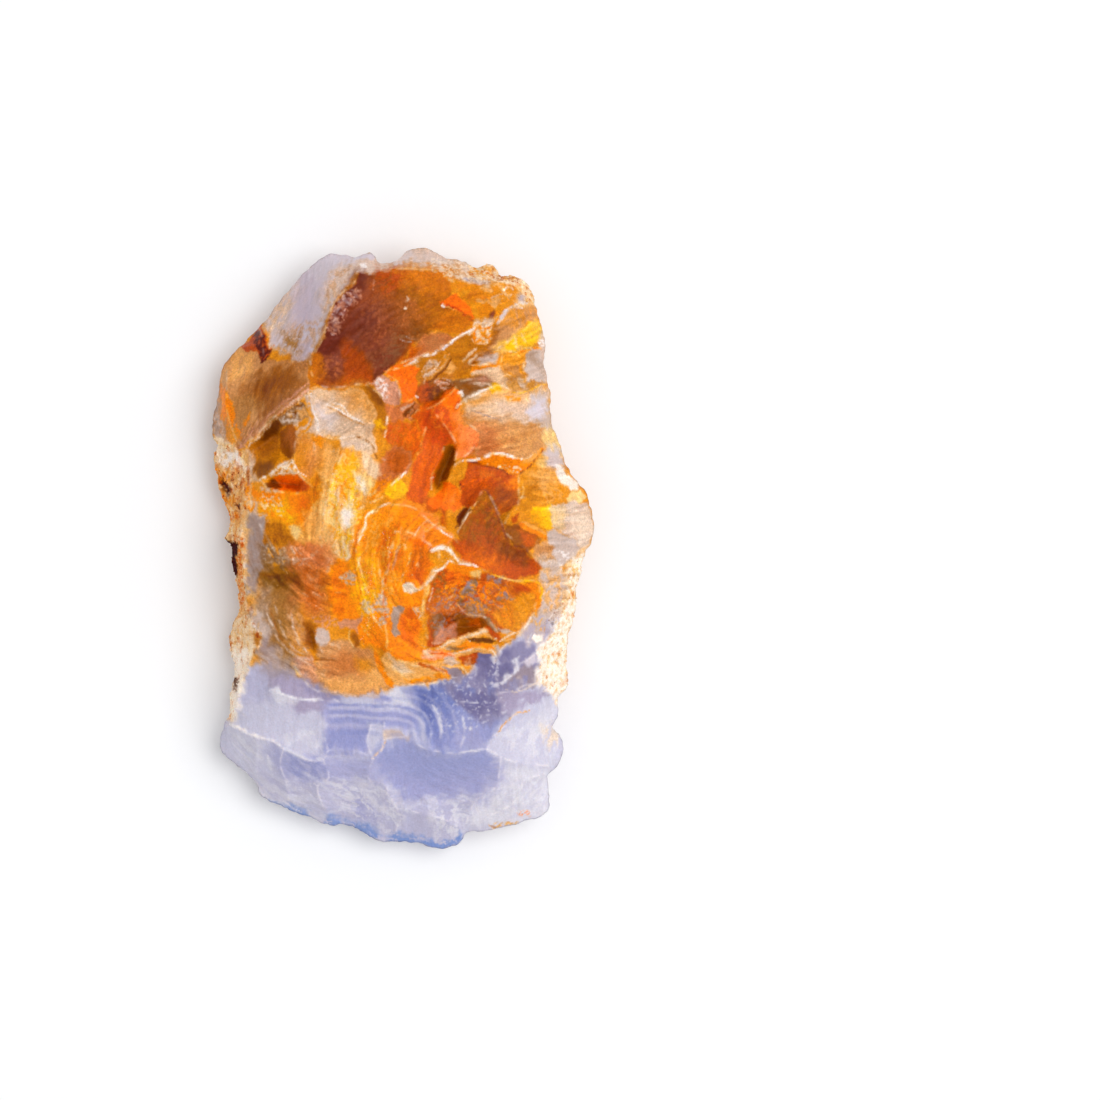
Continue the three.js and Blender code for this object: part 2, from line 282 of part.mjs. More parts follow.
const flatDistance = (p, q) => Math.hypot(p.x - q.x, p.y - q.y);
const nearest = (p, points) => points.reduce((least, q) => Math.min(least, flatDistance(p, q)), Infinity);
const asRing = (points) => points.map(([x, y]) => new THREE.Vector2(x, y));

// Smooth noise from -1 to 1 that is the same each time
function noise(x, y) {
  const corner = (i, j) => {
    const s = Math.sin(i * NOISE_ACROSS + j * NOISE_ALONG) * NOISE_SPREAD;
    return 2 * (s - Math.floor(s)) - 1;
  };
  const [i, j] = [Math.floor(x), Math.floor(y)];
  const ease = (t) => t * t * (3 - 2 * t);
  const [u, v] = [ease(x - i), ease(y - j)];
  const { lerp } = THREE.MathUtils;
  return lerp(lerp(corner(i, j), corner(i + 1, j), u), lerp(corner(i, j + 1), corner(i + 1, j + 1), u), v);
}

// The triangle's circumscribed circle, for the triangulation below
function circle(points, [a, b, c]) {
  const [p, q, r] = [points[a], points[b], points[c]];
  const d = 2 * (p.x * (q.y - r.y) + q.x * (r.y - p.y) + r.x * (p.y - q.y));
  const [pp, qq, rr] = [p, q, r].map((s) => s.x * s.x + s.y * s.y);
  const x = (pp * (q.y - r.y) + qq * (r.y - p.y) + rr * (p.y - q.y)) / d;
  const y = (pp * (r.x - q.x) + qq * (p.x - r.x) + rr * (q.x - p.x)) / d;
  return { x, y, square: (p.x - x) ** 2 + (p.y - y) ** 2 };
}

// Delaunay triangles of the points, seen from above. The points are added from left to right, and a triangle
// whose circle lies wholly to the left of the newest point is finished.
function triangulate(points) {
  const frame = [[-1, -1], [1, -1], [0, 1]].map(([x, y]) => new THREE.Vector3(x, y, 0));
  frame.forEach((p) => p.multiplyScalar(FRAME_REACH));
  const all = [...points, ...frame];
  const n = points.length;
  const made = (corners) => ({ corners, around: circle(all, corners) });
  const finished = [];
  let open = [made([n, n + 1, n + 2])];
  const order = points.map((p, i) => i).sort((a, b) => points[a].x - points[b].x);
  for (const index of order) {
    const p = points[index];
    const edges = new Map();
    open = open.filter(({ corners, around }) => {
      const across = p.x - around.x;
      if (across > 0 && across * across > around.square) {
        finished.push(corners);
        return false;
      }
      if (across * across + (p.y - around.y) ** 2 > around.square) {
        return true;
      }
      corners.forEach((a, i) => {
        const b = corners[(i + 1) % 3];
        if (!edges.delete(`${b},${a}`)) {
          edges.set(`${a},${b}`, [a, b]);
        }
      });
      return false;
    });
    for (const [a, b] of edges.values()) {
      open.push(made([a, b, index]));
    }
  }
  const found = [...finished, ...open.map(({ corners }) => corners)];
  return found.filter((corners) => corners.every((i) => i < n));
}

// A sheet inside the rim: fixed points first, then free points on a triangular lattice, hung between them.
// A positive sag hollows the free stretches downwards, and a negative one upwards.
function sheet(rim, fixed, step, sag) {
  const held = [...rim];
  for (const p of fixed) {
    const clear = isInside(p, rim) && nearest(p, rim) > RIM_CLEARANCE * TOP_STEP;
    if (clear && nearest(p, held) > FIXED_SPACING * step) {
      held.push(p);
    }
  }
  const points = [...held];
  const row = (step * Math.sqrt(3)) / 2;
  for (let j = 0, y = -LENGTH / 2; y < LENGTH / 2; y += row, j += 1) {
    for (let x = -WIDTH / 2 + (j % 2) * (step / 2); x < WIDTH / 2; x += step) {
      const p = new THREE.Vector3(x, y, 0);
      if (isInside(p, rim) && nearest(p, held) > FREE_SPACING * step) {
        points.push(p);
      }
    }
  }
  const middle = ([a, b, c]) => points[a].clone().add(points[b]).add(points[c]).divideScalar(3);
  const triangles = triangulate(points).filter((corners) => isInside(middle(corners), rim));
  const around = points.map(() => new Set());
  for (const [a, b, c] of triangles) {
    around[a].add(b).add(c);
    around[b].add(c).add(a);
    around[c].add(a).add(b);
  }
  const meanHeight = held.reduce((sum, p) => sum + p.z, 0) / held.length;
  for (const p of points.slice(held.length)) {
    p.z = meanHeight;
  }
  const drop = (sag * step * step) / 4;
  for (let round = 0; round < RELAX_ROUNDS; round += 1) {
    for (let i = held.length; i < points.length; i += 1) {
      let sum = 0;
      for (const j of around[i]) {
        sum += points[j].z;
      }
      points[i].z = sum / around[i].size - drop;
    }
  }
  return { points, triangles };
}

function upperSheet(rim) {
  const fixed = Object.values(RIDGES).flatMap((ridge) => sampled(ridge, TOP_STEP));
  const made = sheet(rim, fixed, TOP_STEP, TOP_SAG);
  const crusts = CRUST_AREAS.map(asRing);
  for (const p of made.points.slice(rim.length)) {
    if (crusts.some((ring) => isInside(p, ring))) {
      p.z += RIND_LUMP * noise(p.x / RIND_LUMP_SIZE, p.y / RIND_LUMP_SIZE);
    }
  }
  return made;
}

function underSheet(rim) {
  const flat = RESTING_FACE.map(([x, y]) => [x, y, 0]);
  const flatRing = asRing(RESTING_FACE);
  const edge = flat.flatMap((p, i) => sampled([p, flat[(i + 1) % flat.length]], UNDER_STEP));
  const breakLine = sampled(UNDER_BREAK, UNDER_STEP, true);
  const spokes = UNDER_BREAK.flatMap((p, i) => sampled([flat[i], p], UNDER_STEP));
  const inner = [];
  const space = RESTING_SPACING * UNDER_STEP;
  for (let y = -LENGTH / 2; y < LENGTH / 2; y += space) {
    for (let x = -WIDTH / 2; x < WIDTH / 2; x += space) {
      const p = new THREE.Vector3(x, y, 0);
      if (isInside(p, flatRing)) {
        inner.push(p);
      }
    }
  }
  const made = sheet(rim, [...edge, ...breakLine, ...spokes, ...inner], UNDER_STEP, -UNDER_SAG);
  for (const p of made.points) {
    if (isInside(p, flatRing)) {
      p.z = 0;
    }
  }
  return made;
}

// The two sheets share the rim and close into one solid, fitted to the driving sizes
function stoneGeometry() {
  const rim = sampled(OUTLINE, TOP_STEP, true);
  const upper = upperSheet(rim);
  const under = underSheet(rim);
  const shift = upper.points.length - rim.length;
  const points = [...upper.points, ...under.points.slice(rim.length)];
  const lower = (i) => (i < rim.length ? i : i + shift);
  const turned = under.triangles.map(([a, b, c]) => [lower(a), lower(c), lower(b)]);
  const geometry = new THREE.BufferGeometry().setFromPoints(points);
  geometry.setIndex([...upper.triangles, ...turned].flat());
  geometry.computeBoundingBox();
  const size = geometry.boundingBox.getSize(new THREE.Vector3());
  geometry.center().scale(WIDTH / size.x, LENGTH / size.y, THICKNESS / size.z);
  geometry.translate(0, 0, THICKNESS / 2);
  geometry.computeVertexNormals();
  return geometry;
}

const material = new THREE.MeshStandardMaterial({
  color: STONE_COLOUR,
  roughness: STONE_ROUGHNESS,
  metalness: 0,
  flatShading: true,
});
const stone = new THREE.Mesh(stoneGeometry(), material);
stone.name = 'stone';

const agate = new THREE.Group();
agate.add(stone);

export default agate;
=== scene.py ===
"""A rough piece of blue lace agate: the broken stone, the grains of its crust, and its stage."""
import math

import bpy
import numpy as np
from bpy.props import FloatProperty, FloatVectorProperty, PointerProperty
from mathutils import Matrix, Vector
from mathutils.geometry import delaunay_2d_cdt
from mathutils.kdtree import KDTree


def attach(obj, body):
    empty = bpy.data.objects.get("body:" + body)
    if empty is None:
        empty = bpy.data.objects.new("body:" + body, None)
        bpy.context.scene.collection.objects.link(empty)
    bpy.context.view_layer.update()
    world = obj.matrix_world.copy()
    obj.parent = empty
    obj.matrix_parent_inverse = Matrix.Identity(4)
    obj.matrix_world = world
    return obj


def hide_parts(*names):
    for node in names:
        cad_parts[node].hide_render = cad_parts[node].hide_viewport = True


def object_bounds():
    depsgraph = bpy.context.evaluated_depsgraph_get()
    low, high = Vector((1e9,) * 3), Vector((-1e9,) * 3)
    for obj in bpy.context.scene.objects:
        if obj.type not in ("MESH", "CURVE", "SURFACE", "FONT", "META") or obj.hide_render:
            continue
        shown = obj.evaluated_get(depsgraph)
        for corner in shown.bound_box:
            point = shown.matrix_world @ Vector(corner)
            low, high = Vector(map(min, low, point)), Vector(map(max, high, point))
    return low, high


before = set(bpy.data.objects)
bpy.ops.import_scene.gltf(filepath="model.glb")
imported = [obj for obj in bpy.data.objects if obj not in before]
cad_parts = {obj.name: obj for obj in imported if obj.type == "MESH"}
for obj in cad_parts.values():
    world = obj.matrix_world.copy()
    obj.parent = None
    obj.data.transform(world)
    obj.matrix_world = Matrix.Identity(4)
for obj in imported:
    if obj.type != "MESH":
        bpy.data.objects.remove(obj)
CAD_LOW, CAD_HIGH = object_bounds()

bl_info = {
    "name": "Blue Lace Agate",
    "version": (1, 0, 0),
    "blender": (4, 5, 0),
    "location": "View3D > Sidebar > Agate",
    "description": "Builds a rough piece of blue lace agate with its painted scars, crust and grains",
    "category": "Object",
}

MM = 0.001
TENTHS = 10  # the outlines and paths below are written in tenths of a millimetre
TALLEST = 10.62  # height in millimetres of the highest ridge below, where the CAD stone has its top

# The widest line of the stone, anticlockwise from the notch at its top: X, Y and height of each corner
OUTLINE = (
    # pale lobe at the upper left
    "-22,261,49 -26,266,46 -31,269.5,44 -42,265,44 -52,267.5,42 -68,268.5,40 -78,262,39 -90,252,38 "
    "-102,238,37 -116,222,37 -124,209.5,38 -131,202,39 "
    # amber shoulder on the left
    "-143,189,38 -153,180,37 -161,171,36 -166,158,35 -168,144,34 -172,126,33 -174,109,32 -173.5,101,32 "
    # crust down the left side
    "-168.5,95,32 -173,86,31 -170.5,72,30 -169,59,30 -164,45,29 -159.5,31,29 -158.5,18,30 -163,9.5,30 "
    "-156,2,30 -156.5,-12,30 -153,-26,30 -150,-42,30 -151,-58,30 -156.5,-70,29 -158.5,-82,29 -156,-98,30 "
    "-153.5,-108,30 -155.5,-122,30 -158,-136,30 -158,-149,30 "
    # blue end
    "-163,-160,30 -167.5,-173,29 -166,-184,28 -156,-194,28 -146,-202,27 -135,-213,27 -128,-227,26 "
    "-114,-233,26 -100,-240,25 -86,-245,25 -73,-250,25 -65,-253,24 -57,-251,24 -42,-256,24 -28,-264,24 "
    "-16,-267,24 2,-267,24 18,-269.5,24 31,-273.5,24 47,-270.5,25 54,-265,26 59,-258,28 75,-257,30 "
    "92,-253.5,31 110,-248,32 124,-244.5,32 132,-237,33 133.5,-222,34 132,-207,35 141,-196,35 "
    "145.5,-185,35 143,-170,36 136,-162,38 141,-151,38 141,-136,38 "
    # crust down the right side
    "149,-125,38 149.5,-104,38 150,-84,38 154,-68,38 158,-49,38 158,-36,38 162,-22,38 164,-9,39 169,2,40 "
    # clear fans on the right
    "174,14,41 173,29,42 170,44,44 163,57,45 154,68,46 148,80,47 143,95,48 137.5,109,49 134,125,50 "
    "135,139,50 131,154,50 128.5,169,50 129.5,186,50 127,200,50 122,214,50 "
    # crust and pale band along the top
    "118,230,49 112,242,49 102,247,50 90,249,50 81,258,49 67,256,50 52,262,51 38,265,51 26,271.5,49 "
    "16,273.5,48 5,270.5,48 -3,264,51 -12,259.5,53 "
)

# Ridges, ledges and creases of the upper face, each a line of X, Y and height. The number of a row is its
# seed.
RIDGES = """
dark_scoop_left_lip: -81,168,90 -76,176,97 -69,189,102 -66,200,104 -63,211,105 -56,224,103 -49,232,100
  -41,239,95 -39,249,89
dark_scoop_top_lip: -39,249,89 -26,247,90 -14,249,89 0,252,87 16,251,86 32,250,85 42,243,85 52,239,84
  65,240,82 79,236,82 90,240,78 102,239,71
dark_scoop_bottom_lip: -81,168,90 -79,156,92 -70,146,94 -56,145,96 -42,147,98 -27,149,100 -19,152,102
  -9,161,103 5,168,104
dark_scoop_floor: -50,172,87 -36,194,86 -22,216,85 -4,232,83
white_ridge: 5,168,104 22,174,106 35,180,106 46,186,104 56,192,102 64,196,100 72,202,97 84,206,95 94,214,90
  102,219,83 112,222,72
amber_fold: 36,223,87 46,217,91 56,210,94 66,204,97
amber_crease: 2,170,101 12,182,96 22,191,93 32,200,91 42,206,90
top_lobe_step: -12,254,72 -4,261,64 3,268,54
top_band_fold: -42,264,49 -41,259,63 -39,249,89
top_band_crease: 42,258,64 50,249,73 56,243,79
pale_facet_upper_fold: -41,259,63 -56,254,68 -64,246,73 -70,236,79 -72,224,85 -69,210,95
pale_facet_lower_fold: -98,240,45 -99,226,55 -99,210,65 -98,198,71 -93,182,77 -86,168,86
shoulder_crease: -144,183,46 -134,183,54 -125,172,62 -110,170,70 -96,169,78 -86,168,86
shoulder_fleck: -130,200,47 -127,192,55 -125,172,62
shoulder_edge: -160,164,43 -160,148,49 -159,126,54 -155,112,56 -150,98,59
shoulder_ridge: -142,94,73 -130,103,81 -118,114,88 -106,125,93 -93,135,96 -83,143,95 -70,146,94
hollow_floor: -134,89,69 -124,95,69 -113,102,71 -106,92,74 -103,82,80
hollow_right_edge: -90,131,89 -93,120,84 -93,106,85 -95,94,87 -95,81,90
cream_facet_left: -83,143,95 -80,130,91 -76,116,88 -75,104,89
cream_facet_right: -30,147,99 -19,139,96 -13,129,95 -12,114,94 -16,102,93
cream_wave: -75,104,89 -60,99,92 -40,101,94 -28,94,94 -22,84,93 -14,80,93
slot_upper_lip: -127,63,77 -116,69,83 -111,74,88 -102,73,91 -94,70,92 -88,64,92 -79,56,90
slot_lower_lip: -127,63,77 -119,54,79 -110,52,82 -100,50.5,84 -88,51,87 -79,56,90
slot_floor: -117,61,71 -104,59,72 -92,58,77
left_facet_foot: -119,54,79 -126,44,75 -120,30,74 -109,25,76 -100,20,79 -96,8,81 -89,0,85
left_facet_crease: -93,46,85 -91,30,85 -88,18,86
yellow_crest_left: -70,26,92 -66,44,95 -60,62,97 -56,76,97 -50,88,95
yellow_crest_right: -41,69,95 -40,56,96 -43,40,98 -42,26,99 -42,10,99 -38,-8,98
centre_ridge: 23,109,94 19,96,97 16,86,98 9,76,99 1,67,101 -9,56,101 -19,49,100 -30,40,99 -40,34,98
pink_facet_fold: -19,152,102 -9,144,97 -3,130,94 -4,114,93 -2,96,92 -6,80,93
arrow_facet: -13,157,102 -2,149,99 1,131,97 10,134,96 17,139,97 23,154,95
red_ridge_top: 10,113,92 15,124,99 26,126,102 34,130,104 46,140,105 50,145,103
red_ridge_foot: 26,132,94 36,140,93 46,150,92
red_ridge_crest: 26,126,102 36,116,103 42,108,103 48,99,100 51,90,95 49,80,93
salmon_facet_edge: 52,120,96 60,113,94 70,104,91 67,94,88 62,87,88 54,81,92
clef_floor: 46,90,83 42,79,80 37,69,79 34,58,81 32,52,88
clef_left_edge: 39,91,95 36,82,97 31,72,98 28,64,97 28,54,96
clef_right_edge: 49,76,93 45,68,91 42,62,92
brown_fan_ridge: 64,165,89 76,166,89 89,166,87 92,176,84 102,178,79 112,181,73 125,182,62
brown_fan_crease: 89,202,89 84,192,86 77,184,84 70,176,83 63,169,83
yellow_fan_top: 88,181,85 105,193,81 120,206,67
clear_fan_ridge: 52,129,97 64,139,96 76,143,93 88,147,90 102,142,84 114,141,77 127,148,63
clear_fan_hollow: 54,151,84 66,153,83 78,153,82
grey_fan_edge: 93,158,83 111,153,77 110,163,76 112,173,73
cream_fan_foot: 54,120,92 70,116,88 86,113,86 102,112,83 120,113,74 132,110,60
step_ridge: 49,76,93 56,79.5,96 69,80,98 80,85.5,99 93,84,97 111,81,90 120,86,82 129,92,74 140,96,56
step_foot: 66,76,91 80,74,90 92,71,88 106,67,86 113,74,84 122,82,79
above_step_fold: 66,90,92 80,95,92 96,94,90 113,91,84
rust_facet_right: 106,67,86 106,56,88 106,44,90 104,36,91
rust_facet_line: 70,46,98 62,36,96 56,26,94 51,18,94
rust_facet_dark_foot: 62,40,90 55,34,89 51,26,90
rust_facet_curve: 70,46,98 75,54,99 79,50,97 84,40,93 90,27,90 93,17,90 104,6,89 114,0,87 122,-10,85
rust_chip: 94,24,92 98,32,96 104,36,91
right_lobe_upper_fold: 129,92,74 136,80,73 139,68,72 143,60,71 152,56,62
right_lobe_middle_fold: 121,40,80 131,35,79 141,39,75 150,46,68 161,52,54
right_lobe_lower_fold: 104,36,91 114,29,88 126,21,84 136,18,79 150,14,69 164,5,51
right_lobe_foot: 122,-10,85 134,-6,76 146,-10,68 154,-6,60
dome_edge: -39,6,98 -34,18,98 -26,30,99 -14,38,100 -2,40,100 14,36,100 30,22,101 39,19,101 47,12,100 53,4,98
dome_crest: -4,16,105 12,14,106 24,6,106 34,1,106 44,3,106 49,-3,104 56,-10,102
white_knob: 4,-32,99 9,-30,104 14,-35,102 22,-30,102 30,-19,103
bowl_rim: 56,-10,102 40,-10,104 30,-19,103 24,-30,102 21,-44,100 20,-60,98 22,-74,95 29,-84,93 42,-82,94
  56,-78,95 70,-72,95 80,-73,93 88,-82,87 104,-78,82 114,-67,79 120,-52,78 125,-38,79 122,-29,82 102,-28,87
  84,-23,91 70,-16,97 56,-10,102
bowl_floor: 36,-64,82 46,-69,80 60,-70,80 72,-67,82
bowl_step: 49,-46,86 59,-58,88 76,-61,87 87,-74,85
bowl_mound: 64,-28,90 56,-39,88 59,-58,88
left_sweep_fold: -130,-26,66 -110,-25,67 -94,-24,73 -76,-28,82 -60,-36,90
left_shelf: -132,29,70 -120,9,74 -110,-6,77 -94,-9,82 -80,-8,87
outer_arc: -124,-52,72 -116,-68,75 -107,-82,79 -94,-96,81 -78,-106,83 -66,-116,84
inner_arc: -102,-58,79 -96,-72,82 -88,-87,83 -79,-99,84
lens_edge: -77,-72,89 -75,-83,88 -70,-93,86
lens_foot: -85,-70,81 -80,-82,79 -79,-90,80
fold_left: -38,-8,98 -32,-30,96 -26,-50,94 -22,-70,92
fold_middle: -4,16,105 -9,-10,101 -14,-34,98 -15,-56,96 -12,-78,95 -12,-90,97
curl: -12,-90,97 -2,-98,99 12,-104,98 26,-104,97 39,-110,94 47,-115,90
curl_foot: -17,-86,90 -22,-98,88 -19,-109,88 -13,-117,88 -5,-123,88
ledge_upper: 24,-90,92 40,-89,92 54,-92,91 70,-88,90 81,-90,87 86,-96,82
ledge_lower: 20,-97,94 40,-98,92 52,-103,89 60,-112,84
ledge_foot: 49,-112,83 66,-106,81 74,-97,81
orange_foot: -70,-124,83 -50,-129,85 -30,-131,86 -14,-130,87 -5,-123,88 18,-121,89 34,-119,89 47,-115,90
orange_scallop: -98,-103,81 -90,-112,80 -84,-122,79 -70,-130,79 -56,-137,79
blue_shelf: -119,-127,75 -108,-130,78 -90,-135,79 -72,-134,79
blue_ridge: -157,-159,49 -144,-165,60 -130,-169,67 -116,-173,72 -106,-179,75 -96,-184,76 -82,-190,77
  -70,-189,78 -65,-181,79 -50,-180,80 -34,-183,80 -25,-188,80 -17,-180,81 -15,-171,82 -6,-169,83 4,-169,83
  13,-174,82 24,-180,81 36,-182,81 50,-183,80 64,-181,79 78,-180,78 90,-187,74 104,-192,70 118,-194,64
  132,-196,52
blue_step_left: -69,-148,81 -69,-162,80 -68,-172,79 -65,-181,79
blue_step_middle: -27,-158,83 -30,-174,80 -25,-188,80
blue_step_right: -15,-156,85 -15,-171,82
slate_facet_edge: 120,-140,69 110,-147,73 102,-149,76 94,-158,78 87,-165,79 79,-171,79 78,-180,78
slate_upper_step: 90,-120,82 100,-113,83 106,-104,82 114,-99,79 122,-94,73
slate_lower_step: 88,-129,82 102,-127,80 112,-122,78 125,-123,71
slate_top_edge: 86,-96,82 94,-86,82 106,-82,80 118,-84,75
left_slope_fold: -130,-169,67 -132,-186,56 -134,-202,43
lower_slope_fold_a: -106,-179,75 -110,-194,63 -105,-212,51 -104,-228,38
lower_slope_fold_b: -70,-189,78 -66,-206,67 -76,-214,60 -74,-228,50 -66,-244,34
lower_slope_fold_c: -25,-188,80 -30,-206,70 -16,-212,69 -9,-226,60 -3,-240,49 -6,-256,35
lower_slope_fold_d: 90,-187,74 88,-204,68 86,-214,64 70,-224,60 62,-236,52 58,-249,39
lower_slope_fold_e: 128,-204,51 110,-209,60 108,-220,55 98,-232,49 82,-241,43
lower_slope_step: 2,-235,55 19,-240,53 36,-244,50 49,-252,42
left_crust_edge: -158,97,52 -150,91,62 -141,92,69 -138,80,68 -136,70,68 -139,50,68 -140,40,66 -136,32,68
  -143,22,65 -146,6,63 -143,-8,64 -143,-24,64 -139,-38,66 -141,-50,64 -138,-62,66 -128,-76,73 -127,-84,74
  -134,-97,70 -140,-109,66 -148,-124,59 -149,-136,58 -152,-148,52
right_crust_edge: 153,-13,58 149,-26,61 150,-40,60 146,-50,63 139,-56,67 133,-64,70 135,-72,67 129,-83,70
  125,-96,72 121,-112,73 121,-120,73 129,-124,68 136,-131,56
"""

# Weathered crust on the two sides and at the upper right: the areas that carry lumps
CRUST_AREAS = [
    "-175,100 -150,92 -137,80 -138,50 -144,20 -143,-30 -126,-80 -148,-125 -154,-156 -165,-156 -175,0",
    "168,2 152,-12 148,-48 132,-64 122,-118 140,-132 156,-126 168,-30",
    "59,243 62,262 82,262 118,244 122,226 109,224 103,239 80,245",
]

# The flat face that the stone rests on, and the break above it that runs up to the widest line
RESTING_FACE = (
    "-95,145 -115,50 -108,-60 -112,-140 -55,-190 25,-210 86,-165 96,-65 112,15 84,105 70,180 5,205 -60,185"
)
UNDER_BREAK = (
    "-132,145,12 -146,60,11 -132,-40,10 -142,-155,11 -86,-218,11 25,-246,12 110,-208,15 124,-90,16 "
    "143,12,18 114,104,20 102,206,20 20,246,20 -74,232,15"
)

# Colours of the stone, as red, green and blue from 0 to 255
PALETTE = {
    # blue end
    "frost": (218, 219, 228), "pale_lilac": (198, 199, 218), "lilac": (183, 183, 209),
    "lavender": (164, 166, 205), "periwinkle": (142, 149, 197), "lace_blue": (118, 130, 186),
    "deep_blue": (98, 108, 166), "rim_blue": (120, 146, 204), "slate": (140, 136, 168),
    "dark_slate": (114, 110, 150), "mauve": (168, 160, 186), "lilac_grey": (192, 178, 192),
    "grey_mauve": (150, 137, 147),
    # clear and cream stone
    "white": (250, 246, 244), "pearl": (212, 206, 216), "shell_grey": (202, 190, 196),
    "stone_grey": (164, 146, 140), "warm_grey": (200, 180, 168), "pearl_tan": (216, 188, 168),
    "pale_cream": (240, 220, 194), "cream": (234, 196, 156), "straw": (245, 207, 134),
    # ambers and oranges
    "yellow": (253, 189, 12), "light_amber": (240, 174, 96), "amber": (227, 146, 46),
    "deep_amber": (214, 121, 22), "orange": (250, 140, 18), "bright_orange": (251, 117, 8),
    "burnt_orange": (222, 100, 12), "red_orange": (216, 76, 8), "rust": (190, 84, 26),
    "salmon": (251, 142, 80),
    # browns
    "gold_brown": (194, 120, 42), "tan": (206, 146, 92), "olive_tan": (168, 117, 63),
    "olive": (142, 82, 26), "dark_olive": (104, 60, 14), "brown": (156, 90, 40),
    "dark_brown": (112, 58, 18), "grey_brown": (148, 110, 76), "pink_tan": (214, 150, 118),
    "rose_brown": (206, 118, 68), "maroon": (134, 70, 55), "dark_maroon": (94, 44, 42),
    "near_black": (40, 16, 14),
    # crust
    "crust_pale": (254, 245, 230), "crust_cream": (250, 224, 186), "crust_ochre": (234, 174, 92),
    "crust_rust": (178, 96, 46), "crust_pit": (68, 28, 14),
}

# Outline of the dark scoop
SCOOP = (
    "-39,249.5 -32,247.5 -20,248 -5,251.5 10,252 30,250.5 41,245 47,241 63,239.5 80,235 94,225 80,205 "
    "66,205 42,205 12,183 0,169 -12,159 -25,150 -50,145 -68,143.5 -79,150 -82,168 -74,178 -67,189 -64,204 "
    "-56,223 -49,231 -40,240"
)

